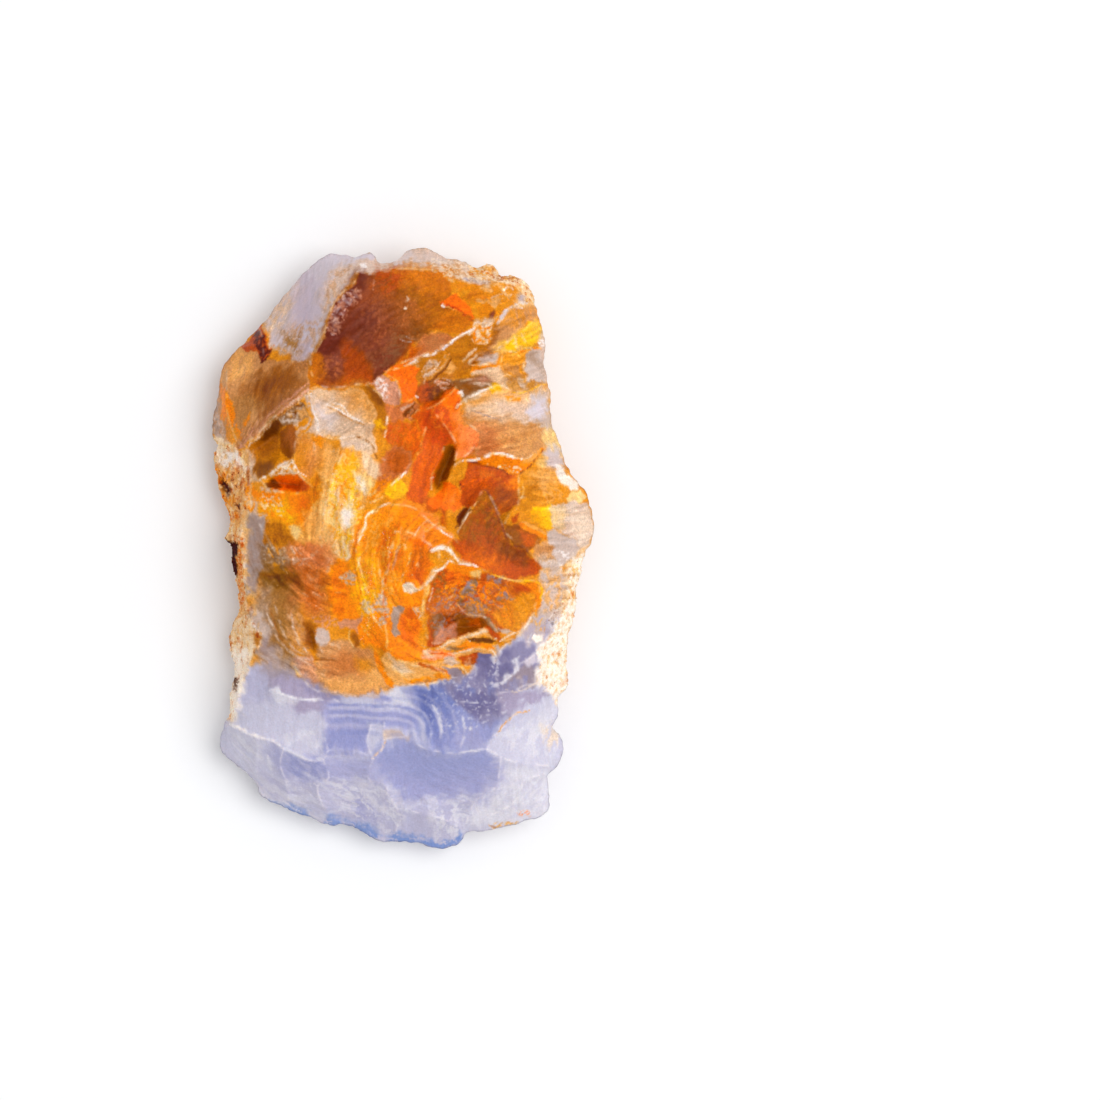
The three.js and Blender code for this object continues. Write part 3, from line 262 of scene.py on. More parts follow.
# Markings of the upper face in the order they are laid down: colour, softness of the edge in millimetres,
# strength, pattern, and outline. No pattern is plain, two numbers are flecks with their size and share of the
# area, three are fibres with their degrees, width and share, and a fade has the points where it is full and
# where it is gone. The number of a row is its seed, so a new marking goes at the end.
# painted shadow under the cream ledge
# painted shadow: the grey-brown and brown below
# the deep orange, rust and dark olive of the slot are partly its own colour and partly painted shade of its
# undercut
# the pink-tan, pearl and white flecks on this wall are painted glints
# these pale fibres are partly whitish strands of the stone and partly painted glints
REGIONS = f"""
# the amber part and the blue end as a whole
pale_lilac 0.1 1: -200,-300 200,-300 200,300 -200,300
amber 0.45 1: -142,-100 -97,-109 -83,-122 -69,-130 -50,-129 -30,-132 -10,-129 -5,-123 36,-118 46,-114
  55,-115 66,-106 72,-94 86,-96 83,-87 92,-87 100,-80 110,-75 120,-63 130,-55 150,-60 180,0 180,60 140,280
  -100,280 -190,180 -180,80 -160,0
# pale facet at the upper left
shell_grey 0.45 1: -20,273 -23,255 -39,249 -64,210 -66,196 -83,168 -92,168 -116,183 -129,209 -90,259 -70,273
pearl 1.1 0.8: -98,249 -70,273 -24,273 -26,263 -60,260 -73,252 -84,238
lilac_grey 1 0.85: -86,250 -75,244 -74,220 -78,202 -100,199 -104,214 -104,232
pearl_tan 1.2 0.8: -101,240 -99,228 -104,210 -112,198 -121,194 -129,208
cream 0.6 0.8 0.8 0.6: -102,237 -100,218 -112,199 -121,194 -128,208
tan 0.6 0.5 0.7 0.6: -70,208 -66,194 -78,179 -96,174 -110,184 -109,200 -98,204
lilac_grey 0.5 0.8: -82,189 -79,180 -85,170 -94,172 -94,186
olive_tan 0.6 0.95 0.5 0.85: -108,196 -94,194 -92,176 -106,180
pearl_tan 0.7 0.95: -39,259 -38,250 -66,212 -71,216 -72,228 -66,246 -56,256
tan 0.5 0.5 0.7 0.4: -44,258 -39,250 -68,208 -72,220 -64,250
# pale band along the top
pearl_tan 0.15 1: -42,262 -22,263 -10,261 4,272 18,276 62,262 62,242 46,241 33,250 6,252 -22,247 -39,249
pearl 0.72 0.7: 43,252 -10,254 -6,263 6,268 14,263 36,263
white 0.15 0.8: -39,258 -33,259 -31,253 -35,250
mauve 0.15 0.8: 56,245 70,244 80,241 80,236 56,240
# crust at the upper right
crust_cream 0.2 1: 60,259 81,262 92,252 116,246 124,226 116,220 113,230 106,237 78,244 70,243 60,245
crust_ochre 0.08 0.9 0.45 0.55: 60,257 78,257 104,249 104,243 80,243 70,246 60,245
amber 0.08 0.8 0.3 0.5: 60,250 64,257 84,256 84,246 70,247
crust_rust 0.08 0.8 0.3 0.4: 79,256 89,253 92,248 108,245 106,241 83,243
# dark scoop: brown glass that turns to amber at the top and right
brown 0.05 1: {SCOOP}
maroon 0.05 0.95 fade -2.6 19.2 2.4 21.4: {SCOOP}
dark_maroon 0.6 0.35: -26,218 -24,200 -40,188 -50,196 -44,214
rose_brown 1.2 0.3 0.6 0.45: -24,242 6,216 4,186 -20,168 -36,176 -36,234
gold_brown 0.9 0.35 1.4 0.85: -2,246 50,250 60,226 46,209 26,202 4,224
deep_amber 0.8 0.9: 2,256 50,256 54,236 40,226 20,230 8,238
deep_amber 0.6 0.7: -14,254 6,254 16,246 6,236 -8,240
rust 0.8 0.85 0.5 0.7: -24,252 -2,254 4,244 -6,232 -20,236
rust 1.2 0.2: -34,244 -4,244 -6,224 -32,222
rose_brown 0.7 0.4 0.9 0.7: -2,224 22,222 30,208 20,202 2,202
deep_amber 0.8 0.5: 20,226 38,224 46,212 34,201 24,204
grey_brown 0.8 0.5 25 0.25 0.5: 20,199 16,188 -2,170 -24,160 -30,170 -10,182 -6,198
rust 0.5 0.7: -52,189 -32,174 -24,162 -24,150 -46,145 -66,144 -53,150 -51,168
burnt_orange 0.7 0.35: -26,154 -34,149 -82,143 -82,153 -56,153 -46,158 -32,159
rose_brown 0.3 0.5 0.4 0.4: -69,174 -56,174 -52,154 -72,154
deep_amber 0.5 0.9: -73,172 -69,162 -70,152 -82,148 -84,173
# rough left wall of the dark scoop
dark_maroon 0.5 0.6: -34,249 -30,238 -36,227 -44,219 -49,210 -52,200 -50,184 -56,177 -68,171 -77,175 -68,189
  -65,204 -57,223 -50,231 -42,250
pink_tan 0.12 0.65 0.45 0.4: -35,236 -34,224 -46,212 -51,202 -53,192 -64,190 -65,204 -54,228
pearl 0.12 0.4 0.4 0.3: -39,229 -48,216 -54,202 -63,202 -55,226 -46,231
white 0.05 0.3 0.3 0.18: -36,236 -38,225 -49,216 -55,204 -57,190 -64,190 -65,204 -59,216 -55,228
gold_brown 0.1 0.6: -38,249 -39,239 -57,219 -63,208 -65,196 -74,180 -77,179 -68,194 -65,210 -57,224 -50,232
  -41,249
# amber face right of the dark scoop
amber 0.2 1: 43,243 70,239 80,235 90,239 102,239 110,230 104,220 84,205 68,204 56,214 46,226
deep_amber 1.2 0.8 0.9 0.8: 48,240 76,236 86,228 90,218 82,209 68,207 60,216
deep_amber 0.3 0.9: 25,196 34,204 42,214 50,214 60,209 67,203 55,192 48,194 36,194
rose_brown 0.2 1: 6,170 22,192 43,193 47,189 43,184 18,171 9,168
tan 0.8 0.55: 18,186 32,192 42,190 38,182 24,178
burnt_orange 0.5 0.9: -6,161 14,185 16,180 11,170
bright_orange 0.1 1: 35,222 51,230 62,216 66,206 50,216
maroon 0.15 0.95: 79,206 80,212 83,214 84,213 82,207
pearl_tan 0.3 0.85 0.5 0.75: 66,200 67,207 75,208 84,206 84,202 74,199
# rim of pale crust at the upper right
crust_cream 0.3 0.95 0.6 0.85: 108,246 122,240 124,220 114,218 102,222 106,230 102,239
crust_ochre 0.12 0.8 0.4 0.35: 103,226 102,242 122,240 124,216
mauve 0.3 0.7: 105,224 106,231 111,229 110,223
# strips between the white ridge and the right side
tan 0.25 1 3 0.97: 76,178 83,188 88,202 96,212 104,218 122,219 124,210 110,202 90,180
amber 0.7 0.85 0.7 0.75: 90,204 98,214 114,220 123,212 102,202
brown 0.35 0.7: 74,177 87,200 89,192 84,182
gold_brown 0.2 1: 81,178 72,172 63,160 46,153 24,150 12,150 6,158 6,166 26,173 63,194
pale_cream 0.12 0.75 50 0.3 0.4: 53,169 60,179 76,182 68,169 61,164
pearl_tan 0.15 0.8 32 0.28 0.35: 44,176 42,168 32,155 22,152 19,157 24,166
orange 0.3 0.85 0.5 0.8: 61,193 68,200 82,202 82,192 77,186 68,184
pale_cream 0.12 0.85 0.4 0.4: 60,193 67,203 83,204 83,190 76,183 66,185
light_amber 0.2 0.95 0.4 0.75: 46,167 49,163 46,158 41,159 40,164
brown 0.2 1: 16,129 14,144 20,150 30,152 48,152 50,144 42,134 32,127 22,127
rust 0.4 0.9: 24,151 29,144 28,132 22,128 15,132 14,144
dark_brown 0.4 0.8 0.5 0.7: 20,132 24,144 30,146 40,139 32,130
pink_tan 0.2 0.85 -15 0.25 0.55: 29,152 46,154 48,147 40,141 30,144
grey_brown 0.3 1: 44,152 82,158 91,152 86,146 74,142 55,130 52,143
brown 0.6 0.8: 48,149 62,150 66,144 59,138
pink_tan 0.5 0.8: 62,153 80,157 90,152 88,148 74,149
pearl_tan 0.3 0.7: 62,149 70,150 80,146 70,145
# clear fans at the upper right
tan 0.6 0.8 0.8 0.7: 92,168 108,166 110,154 96,152
cream 0.25 1: 65,165 88,166 93,160 98,144 88,146 76,156 63,157
orange 0.12 0.9: 63,159 63,165 85,166 88,173 92,172 90,165 84,163 69,162
olive_tan 1 0.75: 96,156 128,152 124,146 112,141 99,140
warm_grey 0.6 0.8 1.2 0.7: 94,152 110,152 124,149 114,143 100,143
warm_grey 0.3 1: 69,170 76,178 88,177 88,170 84,167 71,166
brown 0.4 0.6: 70,172 76,179 85,178 80,173
yellow 0.1 1: 122,209 128,202 128,193 116,182 108,186 108,197
straw 0.6 0.95: 84,179 92,183 110,200 118,192 112,184 116,179 102,177
yellow 0.5 0.9 0.9 0.8: 90,182 112,199 118,188 112,179 98,178
warm_grey 0.15 1: 132,184 132,154 124,152 114,152 111,162 112,174 120,181
grey_brown 0.4 0.4: 120,179 123,169 127,163 128,157 122,166 112,172
pearl_tan 0.3 0.9: 126,202 132,192 133,152 128,152 127,176 122,188
white 0.15 0.85 0.4 0.7: 121,189 130,190 129,183 122,184
light_amber 0.35 1: 58,130 66,138 92,147 100,142 116,141 128,150 136,144 136,128 62,126
cream 0.9 0.8: 134,142 134,126 80,126 84,140 94,142 122,140
yellow 0.2 0.8: 78,142 82,147 89,148 90,144 83,140
orange 0.2 0.8 20 0.4 0.65: 93,138 108,139 108,132 96,133
cream 0.3 1: 121,130 121,113 95,112 57,119 59,130 94,132
pearl_tan 1 0.8: 88,129 122,129 122,114 98,114
tan 0.6 0.8: 57,127 84,118 104,114 84,110 60,114
warm_grey 0.5 0.95: 134,146 134,126 140,106 129,104 121,114 116,126 118,138
pearl 0.5 0.9: 129,137 130,124 126,118 116,116 114,124 118,136
tan 0.3 1: 59,116 85,113 120,112 129,106 130,90 111,81 80,86 69,81 62,86 70,99
rose_brown 0.9 0.75: 64,112 90,108 96,92 84,84 66,80 64,92 70,102
light_amber 0.9 0.6 90 0.35 0.6: 88,108 124,108 128,92 108,85 90,90
straw 0.4 0.9: 128,109 140,109 148,84 136,86 129,92
# amber-brown shoulder on the left
tan 0.1 1: -84,166 -82,156 -82,141 -110,120 -140,93 -150,90 -170,102 -176,120 -176,150 -164,172 -150,186
  -140,180 -132,180 -126,170 -90,170
brown 0.9 0.9: -89,166 -88,148 -104,134 -120,122 -136,130 -144,146 -130,160 -100,169
dark_brown 1.2 0.2: -128,154 -100,158 -92,150 -104,138 -120,130
light_amber 0.7 0.8 1 0.8: -168,156 -150,184 -136,179 -134,166 -144,154 -160,152
olive_tan 0.5 0.5: -134,140 -124,128 -146,109 -152,120 -153,140
orange 0.15 1 75 0.4 0.85: -167,154 -161,146 -158,136 -152,134 -151,120 -148,110 -144,108 -143,118 -136,123
  -147,99 -154,94 -160,104 -161,114 -166,120 -163,130 -166,140
amber 0.3 0.85: -160,112 -150,110 -147,100 -154,94 -160,102
stone_grey 0.3 0.8 -60 0.35 0.7: -176,144 -168,144 -167,124 -161,114 -160,102 -166,99 -176,100
pearl_tan 0.2 0.7 0.6 0.5: -176,126 -166,122 -161,104 -174,100
pink_tan 0.15 0.9 40 0.4 0.75: -149,92 -134,110 -90,146 -83,150 -82,141 -120,113 -136,99 -143,91
brown 0.15 0.5 40 0.3 0.5: -147,99 -124,128 -104,136 -90,138 -126,109 -141,93
rust 0.1 1: -131,207 -119,183 -115,185 -123,170 -126,169 -132,180 -142,179 -148,184 -139,190 -135,201
dark_maroon 0.12 0.95 0.5 0.85: -129,201 -122,183 -117,182 -122,170 -127,169 -130,180 -134,184 -134,199
orange 0.15 0.7 0.5 0.6: -126,200 -120,198 -119,186 -124,189
# hollow below the shoulder ridge, and the slot beside it
gold_brown 0.15 1: -112,118 -107,115 -106,106 -112,96 -108,88 -109,82 -118,69 -127,65 -136,68 -139,80
  -139,90 -130,98
brown 0.3 0.7: -126,84 -114,88 -110,96 -112,106 -126,100 -132,92
dark_olive 0.3 0.95: -132,96 -112,118 -107,114 -110,104
dark_olive 0.5 0.6: -116,79 -116,70 -128,66 -133,72 -130,80
pearl_tan 0.3 0.8: -140,88 -135,88 -133,68 -126,63 -136,60
brown 0.12 1: -104,113 -97,112 -93,102 -91,92 -99,82 -105,85 -110,90 -109,104
rose_brown 0.4 0.5: -104,110 -96,108 -94,94 -100,90
grey_brown 0.12 1 0.8 0.95: -111,117 -90,133 -85,128 -83,119 -94,113 -106,112
white 0.1 0.5 0.3 0.4: -109,116 -90,132 -85,126 -90,114 -104,112
dark_brown 0.12 0.8 0.4 0.6: -100,124 -90,132 -87,129 -94,120
light_amber 0.2 0.8: -94,126 -86,126 -83,120 -89,117
warm_grey 0.2 0.9 -78 0.3 0.75: -79,140 -74,130 -74,102 -78,99 -80,116 -86,136
pearl_tan 0.2 0.85 50 0.35 0.7: -82,119 -78,106 -80,97 -92,94 -97,113
pale_cream 0.15 0.9 0.5 0.75: -128,63 -117,68 -113,73 -105,79 -97,82 -93,72 -86,65 -78,63 -77,57 -85,59
  -92,67 -100,69 -110,68 -120,64
bright_orange 0.1 1: -120,61 -110,67 -100,68 -92,67 -85,59 -80,56 -86,53 -96,51 -118,54
rust 0.25 0.9: -109,62 -85,59 -80,56 -88,52 -104,54
dark_olive 0.25 0.8: -122,61 -114,64 -109,60 -110,55 -120,54
pearl_tan 0.15 0.85 0.4 0.7: -128,56 -108,53 -108,49 -126,48
# amber and grey below the slot
orange 0.2 1: -136,52 -126,50 -108,52 -94,50 -79,54 -72,50 -73,30 -79,21 -90,17 -100,19 -116,29 -130,40
yellow 0.6 0.8 1 0.8: -128,42 -100,44 -95,22 -102,19
burnt_orange 0.4 0.6: -74,48 -76,30 -82,22 -90,22 -92,48
pale_cream 0.1 0.7 0.35 0.35: -130,48 -106,48 -108,29 -124,36
straw 0.3 0.95: -101,19 -92,20 -89,15 -93,8 -98,11
pearl_tan 0.3 0.9 0.8 0.8: -141,46 -129,45 -129,36 -120,30 -120,22 -128,23 -140,38
stone_grey 0.3 1: -133,35 -125,27 -120,14 -120,0 -122,-12 -128,-20 -134,-44 -146,-40 -148,0 -146,16 -139,31
brown 0.6 0.15 1.2 0.5: -138,30 -120,20 -120,-16 -130,-44 -142,-20
gold_brown 0.3 1: -124,20 -119,25 -110,23 -104,19 -95,4 -104,1 -114,4 -122,4
olive 0.4 0.5 0.5 0.5: -123,22 -106,20 -98,6 -120,4
grey_brown 0.4 0.9 0.9 0.9: -129,5 -100,3 -98,-18 -126,-20
white 0.1 0.25 0.3 0.3: -126,4 -100,2 -100,-12 -124,-14
rose_brown 0.7 0.9: -102,2 -66,6 -56,-8 -60,-20 -100,-18
pearl_tan 0.12 0.6 0.4 0.45: -100,2 -64,4 -60,-14 -98,-14
olive_tan 0.6 1: -130,-22 -94,-20 -92,-50 -96,-84 -90,-98 -94,-108 -114,-104 -124,-86
stone_grey 0.9 0.6: -136,-30 -120,-34 -114,-88 -124,-100 -136,-70
dark_olive 0.9 1: -127,-19 -87,-21 -86,-29 -96,-34 -122,-30
rose_brown 1 0.85: -94,-17 -72,-15 -63,-28 -62,-44 -66,-58 -82,-60 -96,-52 -98,-34
rust 0.6 0.45 0.8 0.6: -90,-18 -66,-18 -62,-40 -68,-56 -86,-50
warm_grey 0.4 0.9: -141,-51 -132,-53 -123,-60 -118,-80 -124,-83 -133,-73 -140,-62
tan 0.3 0.85 -62 0.35 0.7: -104,-52 -88,-60 -82,-86 -82,-100 -94,-100 -104,-80
brown 0.35 0.9: -89,-63 -80,-65 -75,-84 -78,-91 -84,-85
warm_grey 0.12 1: -76,-72 -70,-70 -65,-72 -63,-80 -65,-89 -72,-90 -77,-78
pink_tan 0.2 0.8 0.4 0.6: -80,-60 -62,-58 -52,-66 -60,-70 -76,-70
grey_mauve 0.6 0.7: -132,-84 -119,-80 -106,-104 -124,-106
warm_grey 0.9 0.8: -126,-96 -110,-94 -97,-104 -90,-116 -124,-112
pink_tan 0.3 0.8: -96,-100 -80,-96 -74,-106 -72,-122 -82,-122 -90,-112
# centre: cream scar with its wavy foot
cream 0.15 1: -79,142 -72,144 -66,142 -54,142 -45,144 -36,143 -29,139 -20,123 -26,105 -20,86 -28,84 -38,88
  -48,89 -53,98 -65,101 -74,99 -78,106 -77,114 -80,134
tan 0.9 0.75: -64,144 -32,146 -20,130 -22,118 -34,120 -46,126
amber 1.2 0.55: -50,146 -29,142 -18,124 -26,116 -38,126
pearl 0.8 0.7: -76,132 -64,130 -58,120 -60,110 -76,108
warm_grey 0.7 0.4: -66,118 -50,120 -25,108 -26,104 -66,102
grey_brown 0.5 0.3: -62,126 -49,120 -40,113 -27,110 -25,106 -44,109 -58,118
warm_grey 0.5 0.6: -52,100 -36,99 -28,93 -34,88 -48,90
gold_brown 0.1 1: -35,146 -26,146 -17,136 -14,130 -11,116 -12,108 -15,102 -21,109 -23,114 -20,122
olive 0.3 0.9: -31,146 -25,146 -15,132 -14,126 -21,129
yellow 0.2 0.85 0.5 0.75: -24,117 -16,116 -14,108 -22,108
# around the yellow fan
amber 0.4 1 2 0.95: -92,106 -78,104 -74,98 -56,99 -52,90 -52,70 -64,46 -82,56 -90,66
rose_brown 0.9 0.5: -90,102 -76,100 -70,84 -74,66 -88,68
cream 1.1 0.3: -84,102 -68,98 -66,80 -80,76
orange 0.5 0.8: -78,99 -72,98 -73,93 -78,92
deep_amber 0.5 0.85: -72,68 -68,46 -74,34 -82,40 -83,56
light_amber 0.5 1: -20,84 -16,66 -36,30 -40,-8 -68,-8 -80,16 -72,46 -68,90 -50,92 -36,84
orange 0.35 0.85 78 0.45 0.75: -52,89 -44,87 -38,70 -34,40 -39,0 -50,-8 -69,26 -62,72
yellow 0.5 0.8 80 0.4 0.55: -42,86 -36,60 -36,20 -39,-8 -56,-6 -60,24 -66,50 -56,76
straw 0.7 0.6 0.4 0.5: -40,86 -32,50 -39,-8 -64,-9 -82,14 -76,44 -54,88
pale_cream 0.5 0.5 0.4 0.35: -58,46 -40,46 -38,10 -42,-10 -60,-8 -64,20
pale_cream 0.2 0.7: -36,87 -29,85 -22,77 -15,74 -16,64 -22,62 -30,68 -35,77
straw 0.3 0.85: -39,70 -30,68 -22,56 -26,48 -34,52 -40,60
pale_cream 0.3 0.9 0.5 0.75: -42,68 -34,65 -28,54 -32,50 -39,56
pale_cream 0.3 0.7: -46,44 -42,34 -43,18 -52,16 -56,36
white 0.3 0.7: -53,34 -46,36 -45,20 -50,20
straw 0.5 0.6 0.6 0.6: -70,44 -58,52 -56,24 -68,18
pale_cream 0.4 0.7 0.6 0.6: -54,4 -42,6 -40,-8 -52,-9
rose_brown 0.7 0.85: -94,6 -76,10 -62,4 -62,-14 -86,-18
light_amber 0.5 0.8: -74,34 -68,18 -74,6 -90,8 -88,32
# right of the cream scar
pink_tan 0.1 1: -29,148 -16,156 -12,154 -9,150 -4,150 1,138 0,130 -6,128 -13,130 -24,147
white 0.2 0.75 0.35 0.45: -18,154 -12,150 -10,136 -14,132 -24,149
rose_brown 0.25 1: -14,129 -6,128 4,130 4,118 2,112 -10,112
burnt_orange 0.3 1: -13,112 12,114 19,98 19,89 12,80 -8,92 -15,102
rose_brown 0.3 0.6 0.4 0.55: -12,112 10,112 17,98 6,88 -10,94
rose_brown 0.25 1: 11,88 12,78 8,72 -10,58 -21,52 -20,64 -15,82 -8,93 3,92
rust 0.4 0.5: 6,88 9,76 0,68 -12,68 -10,89
orange 0.25 0.8 35 0.3 0.6: -6,64 -4,56 -16,48 -34,40 -28,52 -16,67
# warm heart of the stone
bright_orange 0.1 1: -14,159 -4,164 9,166 18,162 14,154 16,146 12,129 3,129 1,141 -3,151 -9,152
rose_brown 0.2 1: 1,131 12,133 17,128 17,119 12,115 3,118
dark_brown 0.15 0.8 40 0.25 0.5: 12,132 17,124 11,117 2,119 1,126
pearl_tan 0.1 0.6 40 0.25 0.3: 12,132 16,124 10,118 2,120 1,128
burnt_orange 0.2 1: 52,142 54,128 51,120 56,110 53,94 41,93 38,82 31,70 31,62 20,40 6,44 10,74 20,90 18,104
  11,120 16,128 36,136 46,144
red_orange 0.5 0.6: 18,124 34,126 45,118 46,100 38,94 26,96 20,108
rust 0.3 0.6 0.6 0.5: 19,126 38,126 46,110 42,95 24,98
salmon 0.3 0.5 0.5 0.35: 26,126 44,124 48,110 42,104 30,112
bright_orange 0.12 0.95: 47,144 52,142 50,129 43,125 35,133
bright_orange 0.3 0.9 0.6 0.7: 5,108 19,108 20,94 14,88 6,98
rust 0.35 0.85: 14,42 26,48 36,43 41,36 41,21 36,24 36,32 26,34
salmon 0.12 1: 53,113 62,110 70,103 70,98 66,90 60,84 52,82 47,98 47,105
burnt_orange 0.7 0.6: 55,112 56,92 50,86 47,104
salmon 0.4 0.7: 44,124 54,126 58,114 52,110 46,114
brown 0.1 0.95: 45,93 50,90 49,78 45,73 42,63 37,60 34,54 32,54 31,60 31,68 38,84 38,93
yellow 0.1 1: -15,52 -3,63 1,63 8,53 4,48 -3,45 -10,46 -14,49
bright_orange 0.15 1: 50,56 55,42 53,38 49,35 30,36 26,39 26,44 37,54 40,60 45,60
salmon 0.7 0.75: 36,50 50,51 52,42 42,41
salmon 0.4 1: -4,42 8,43 28,33 34,21 46,12 44,4 26,0 10,2 0,10 -6,24
orange 0.9 0.8: -6,42 14,40 26,26 12,12 2,10 -8,22
orange 0.12 1: 24,19 32,19 44,10 42,5 30,2 24,8
bright_orange 0.3 0.8: 24,2 22,-6 5,-6 0,0 3,8 20,9
# brown facets right of the heart
rust 0.1 1: 54,78 60,78 88,73 104,66 106,42 90,30 84,44 77,53 66,39 58,38 54,42 52,60
burnt_orange 0.6 0.65 80 0.3 0.6: 88,62 80,56 54,46 54,77 76,74
rose_brown 0.6 0.5 0.8 0.6: 62,74 96,69 94,58 70,60
brown 0.5 0.55: 92,56 104,52 106,39 98,36 90,26 80,54
orange 0.3 0.9 0.8 0.8: 93,59 104,66 107,62 106,56 98,54
amber 0.1 1: 60,78 60,70 57,64 52,60 43,66 44,72 56,79
orange 0.1 1: 56,80 74,82 81,86 94,85 112,80 127,91 130,90 110,69 103,66 95,70 85,73
light_amber 0.25 0.85: 108,76 112,81 126,90 127,87 118,79
pale_cream 0.06 0.85 0.25 0.45: 76,78 98,75 109,75 107,68
brown 0.12 0.75: 76,53 80,50 86,38 93,16 84,10 70,8 54,8 51,16
dark_brown 0.6 0.4: 84,36 88,14 76,12 72,30
dark_brown 0.12 1: 50,19 52,24 50,29 53,34 57,38 63,37 64,36 54,21
brown 0.15 1: 92,22 107,22 116,15 125,11 126,4 114,0 104,4 96,12
burnt_orange 0.4 0.7: 106,18 122,11 123,4 112,4
rust 0.2 0.9: 100,29 106,33 107,24 102,22
orange 0.08 1: 108,24 112,25 119,21 129,14 130,9 116,15 108,20
light_amber 0.1 0.8: 109,24 113,25 120,21 129,15 128,13
rust 0.3 1: 46,8 70,9 92,14 100,4 112,0 117,-7 127,-14 122,-22 108,-24 103,-30 56,-10 50,-2
burnt_orange 0.6 0.6: 50,4 74,6 94,-10 100,-24 80,-20 56,-10
orange 0.7 0.5: 60,-4 86,-10 90,-22 70,-15
dark_brown 0.6 0.75: 86,10 114,-2 114,-10 98,-13 86,-2
brown 1 0.65: 54,16 72,30 90,26 102,6 110,-6 84,-6 66,0
rust 0.5 0.55 0.5 0.6: 54,14 74,44 86,34 92,8 80,-4 60,0
# clear stone on the far right
light_amber 0.8 1: 136,74 139,58 124,52 118,58 118,70
gold_brown 0.5 0.9 0.6 0.8: 120,58 126,46 120,38 109,36 105,44 106,56
shell_grey 0.4 0.9: 134,94 145,90 147,78 140,72 131,74 128,82
straw 0.4 0.7: 123,82 130,86 132,75 126,71
white 0.2 0.85: 138,75 145,76 151,68 160,61 161,56 154,52 150,58 142,62 139,68
light_amber 0.2 0.7 0.5 0.5: 126,54 148,56 148,46 130,42
yellow 0.15 1: 119,39 126,38 136,41 136,24 139,20 132,17 117,26
amber 0.5 0.7: 117,38 124,36 127,26 123,20 116,26
straw 0.1 1: 148,44 155,52 162,54 167,46 160,42 152,42
pearl_tan 0.15 1: 136,40 150,43 169,43 174,26 174,14 170,5 163,1 158,8 136,20 135,26
straw 0.7 0.75: 146,40 146,26 140,19 134,24 135,39
pale_cream 0.7 0.7: 152,38 170,36 174,16 164,4 154,14
warm_grey 0.2 1: 130,17 140,17 158,8 163,1 154,-10 146,-15 138,-10 134,0
white 0.15 0.7 0.4 0.5: 139,0 152,-1 152,-9 140,-11
tan 0.3 1 1 0.95: 123,10 132,9 137,2 137,-10 128,-10 121,-6 119,0
white 0.12 0.9 85 0.25 0.7: 126,-11 136,-10 146,-12 144,-20 132,-22
pearl_tan 0.3 1: 147,-18 148,-30 146,-50 142,-62 126,-60 122,-50 126,-36 124,-20
# veined orange below the heart
orange 0.3 1: -12,39 0,36 -2,10 14,-2 26,-4 30,-14 20,-44 18,-98 2,-100 -14,-90 -34,-86 -46,-70 -62,-58
  -64,-20 -54,-8 -44,-8 -42,20 -32,32
amber 1.2 0.6 1 0.6: -14,32 -6,-10 -10,-44 -30,-50 -40,-10 -36,26
light_amber 0.8 0.55 0.4 0.45: -10,34 8,10 6,-30 -10,-56 -36,-50 -40,24
burnt_orange 0.6 0.7 85 0.3 0.55: -2,24 -2,-16 -14,-20 -20,0 -16,20
burnt_orange 0.5 0.85: 25,0 26,-14 21,-29 7,-29 6,-18 14,-1
rose_brown 0.6 0.55: 12,0 24,-2 22,-16 12,-14
yellow 0.8 0.7 80 0.35 0.5: -24,-2 -20,-46 -30,-76 -44,-30 -44,-6
burnt_orange 0.5 0.4 0.7 0.75: -52,-12 -49,-34 -50,-60 -62,-60 -62,-18
warm_grey 0.15 0.85 0.4 0.7: -55,-24 -46,-19 -40,-24 -41,-31 -52,-32
pink_tan 0.15 0.9: -32,-56 -35,-64 -39,-70 -38,-78 -42,-72 -50,-70 -55,-72 -56,-66 -50,-62 -38,-61
warm_grey 0.12 0.8 0.4 0.7: -39,-50 -32,-45 -20,-49 -19,-56 -28,-59 -34,-53
warm_grey 0.12 0.85 0.4 0.75: -20,-39 -11,-46 -10,-56 -13,-67 -19,-69 -17,-56 -22,-49
stone_grey 0.1 0.9: -3,-49 4,-53 3,-58 -1,-63 -2,-70 0,-76 -4,-80 -8,-74 -7,-66 -10,-60 -8,-55 -8,-51
burnt_orange 0.4 0.8 0.8 0.8: 14,-50 16,-86 0,-80 1,-58
pearl_tan 0.12 0.85 0.35 0.6: 12,-53 18,-52 20,-64 16,-64
pale_cream 0.12 0.95: 3,-32 8,-30 13,-32 16,-36 10,-40 5,-37
tan 0.3 1: -74,-86 -48,-80 -38,-88 -22,-92 -20,-104 -12,-114 -7,-124 -24,-131 -70,-132 -76,-110
rust 0.7 0.35: -64,-96 -34,-92 -28,-110 -44,-114 -66,-110
amber 0.5 0.8: -41,-96 -26,-96 -24,-110 -36,-112
light_amber 0.5 0.8: -32,-110 -20,-108 -13,-119 -12,-128 -30,-126
light_amber 0.5 0.7: -70,-116 -32,-117 -28,-128 -68,-130
brown 0.2 0.85: -45,-74 -40,-75 -39,-86 -43,-87
orange 0.15 1: -23,-90 -18,-96 -16,-106 -11,-114 -5,-120 -6,-125 -12,-120 -19,-110 -23,-100
light_amber 0.12 1: -15,-93 -10,-90 -9,-96 0,-100 48,-102 58,-108 56,-115 0,-122 -6,-120 -14,-109 -16,-100
orange 0.2 0.85 0.9 0.8: 46,-114 36,-119 18,-121 2,-121 4,-115 26,-114 44,-108
pale_cream 0.3 0.7: -11,-92 0,-102 12,-109 4,-112 -8,-104
# bowl and the ledges below it
rust 0.25 1: 122,-31 125,-44 120,-56 110,-72 100,-80 88,-82 78,-72 60,-77 40,-85 26,-88 24,-46 28,-30 36,-20
  44,-16 84,-22 102,-29
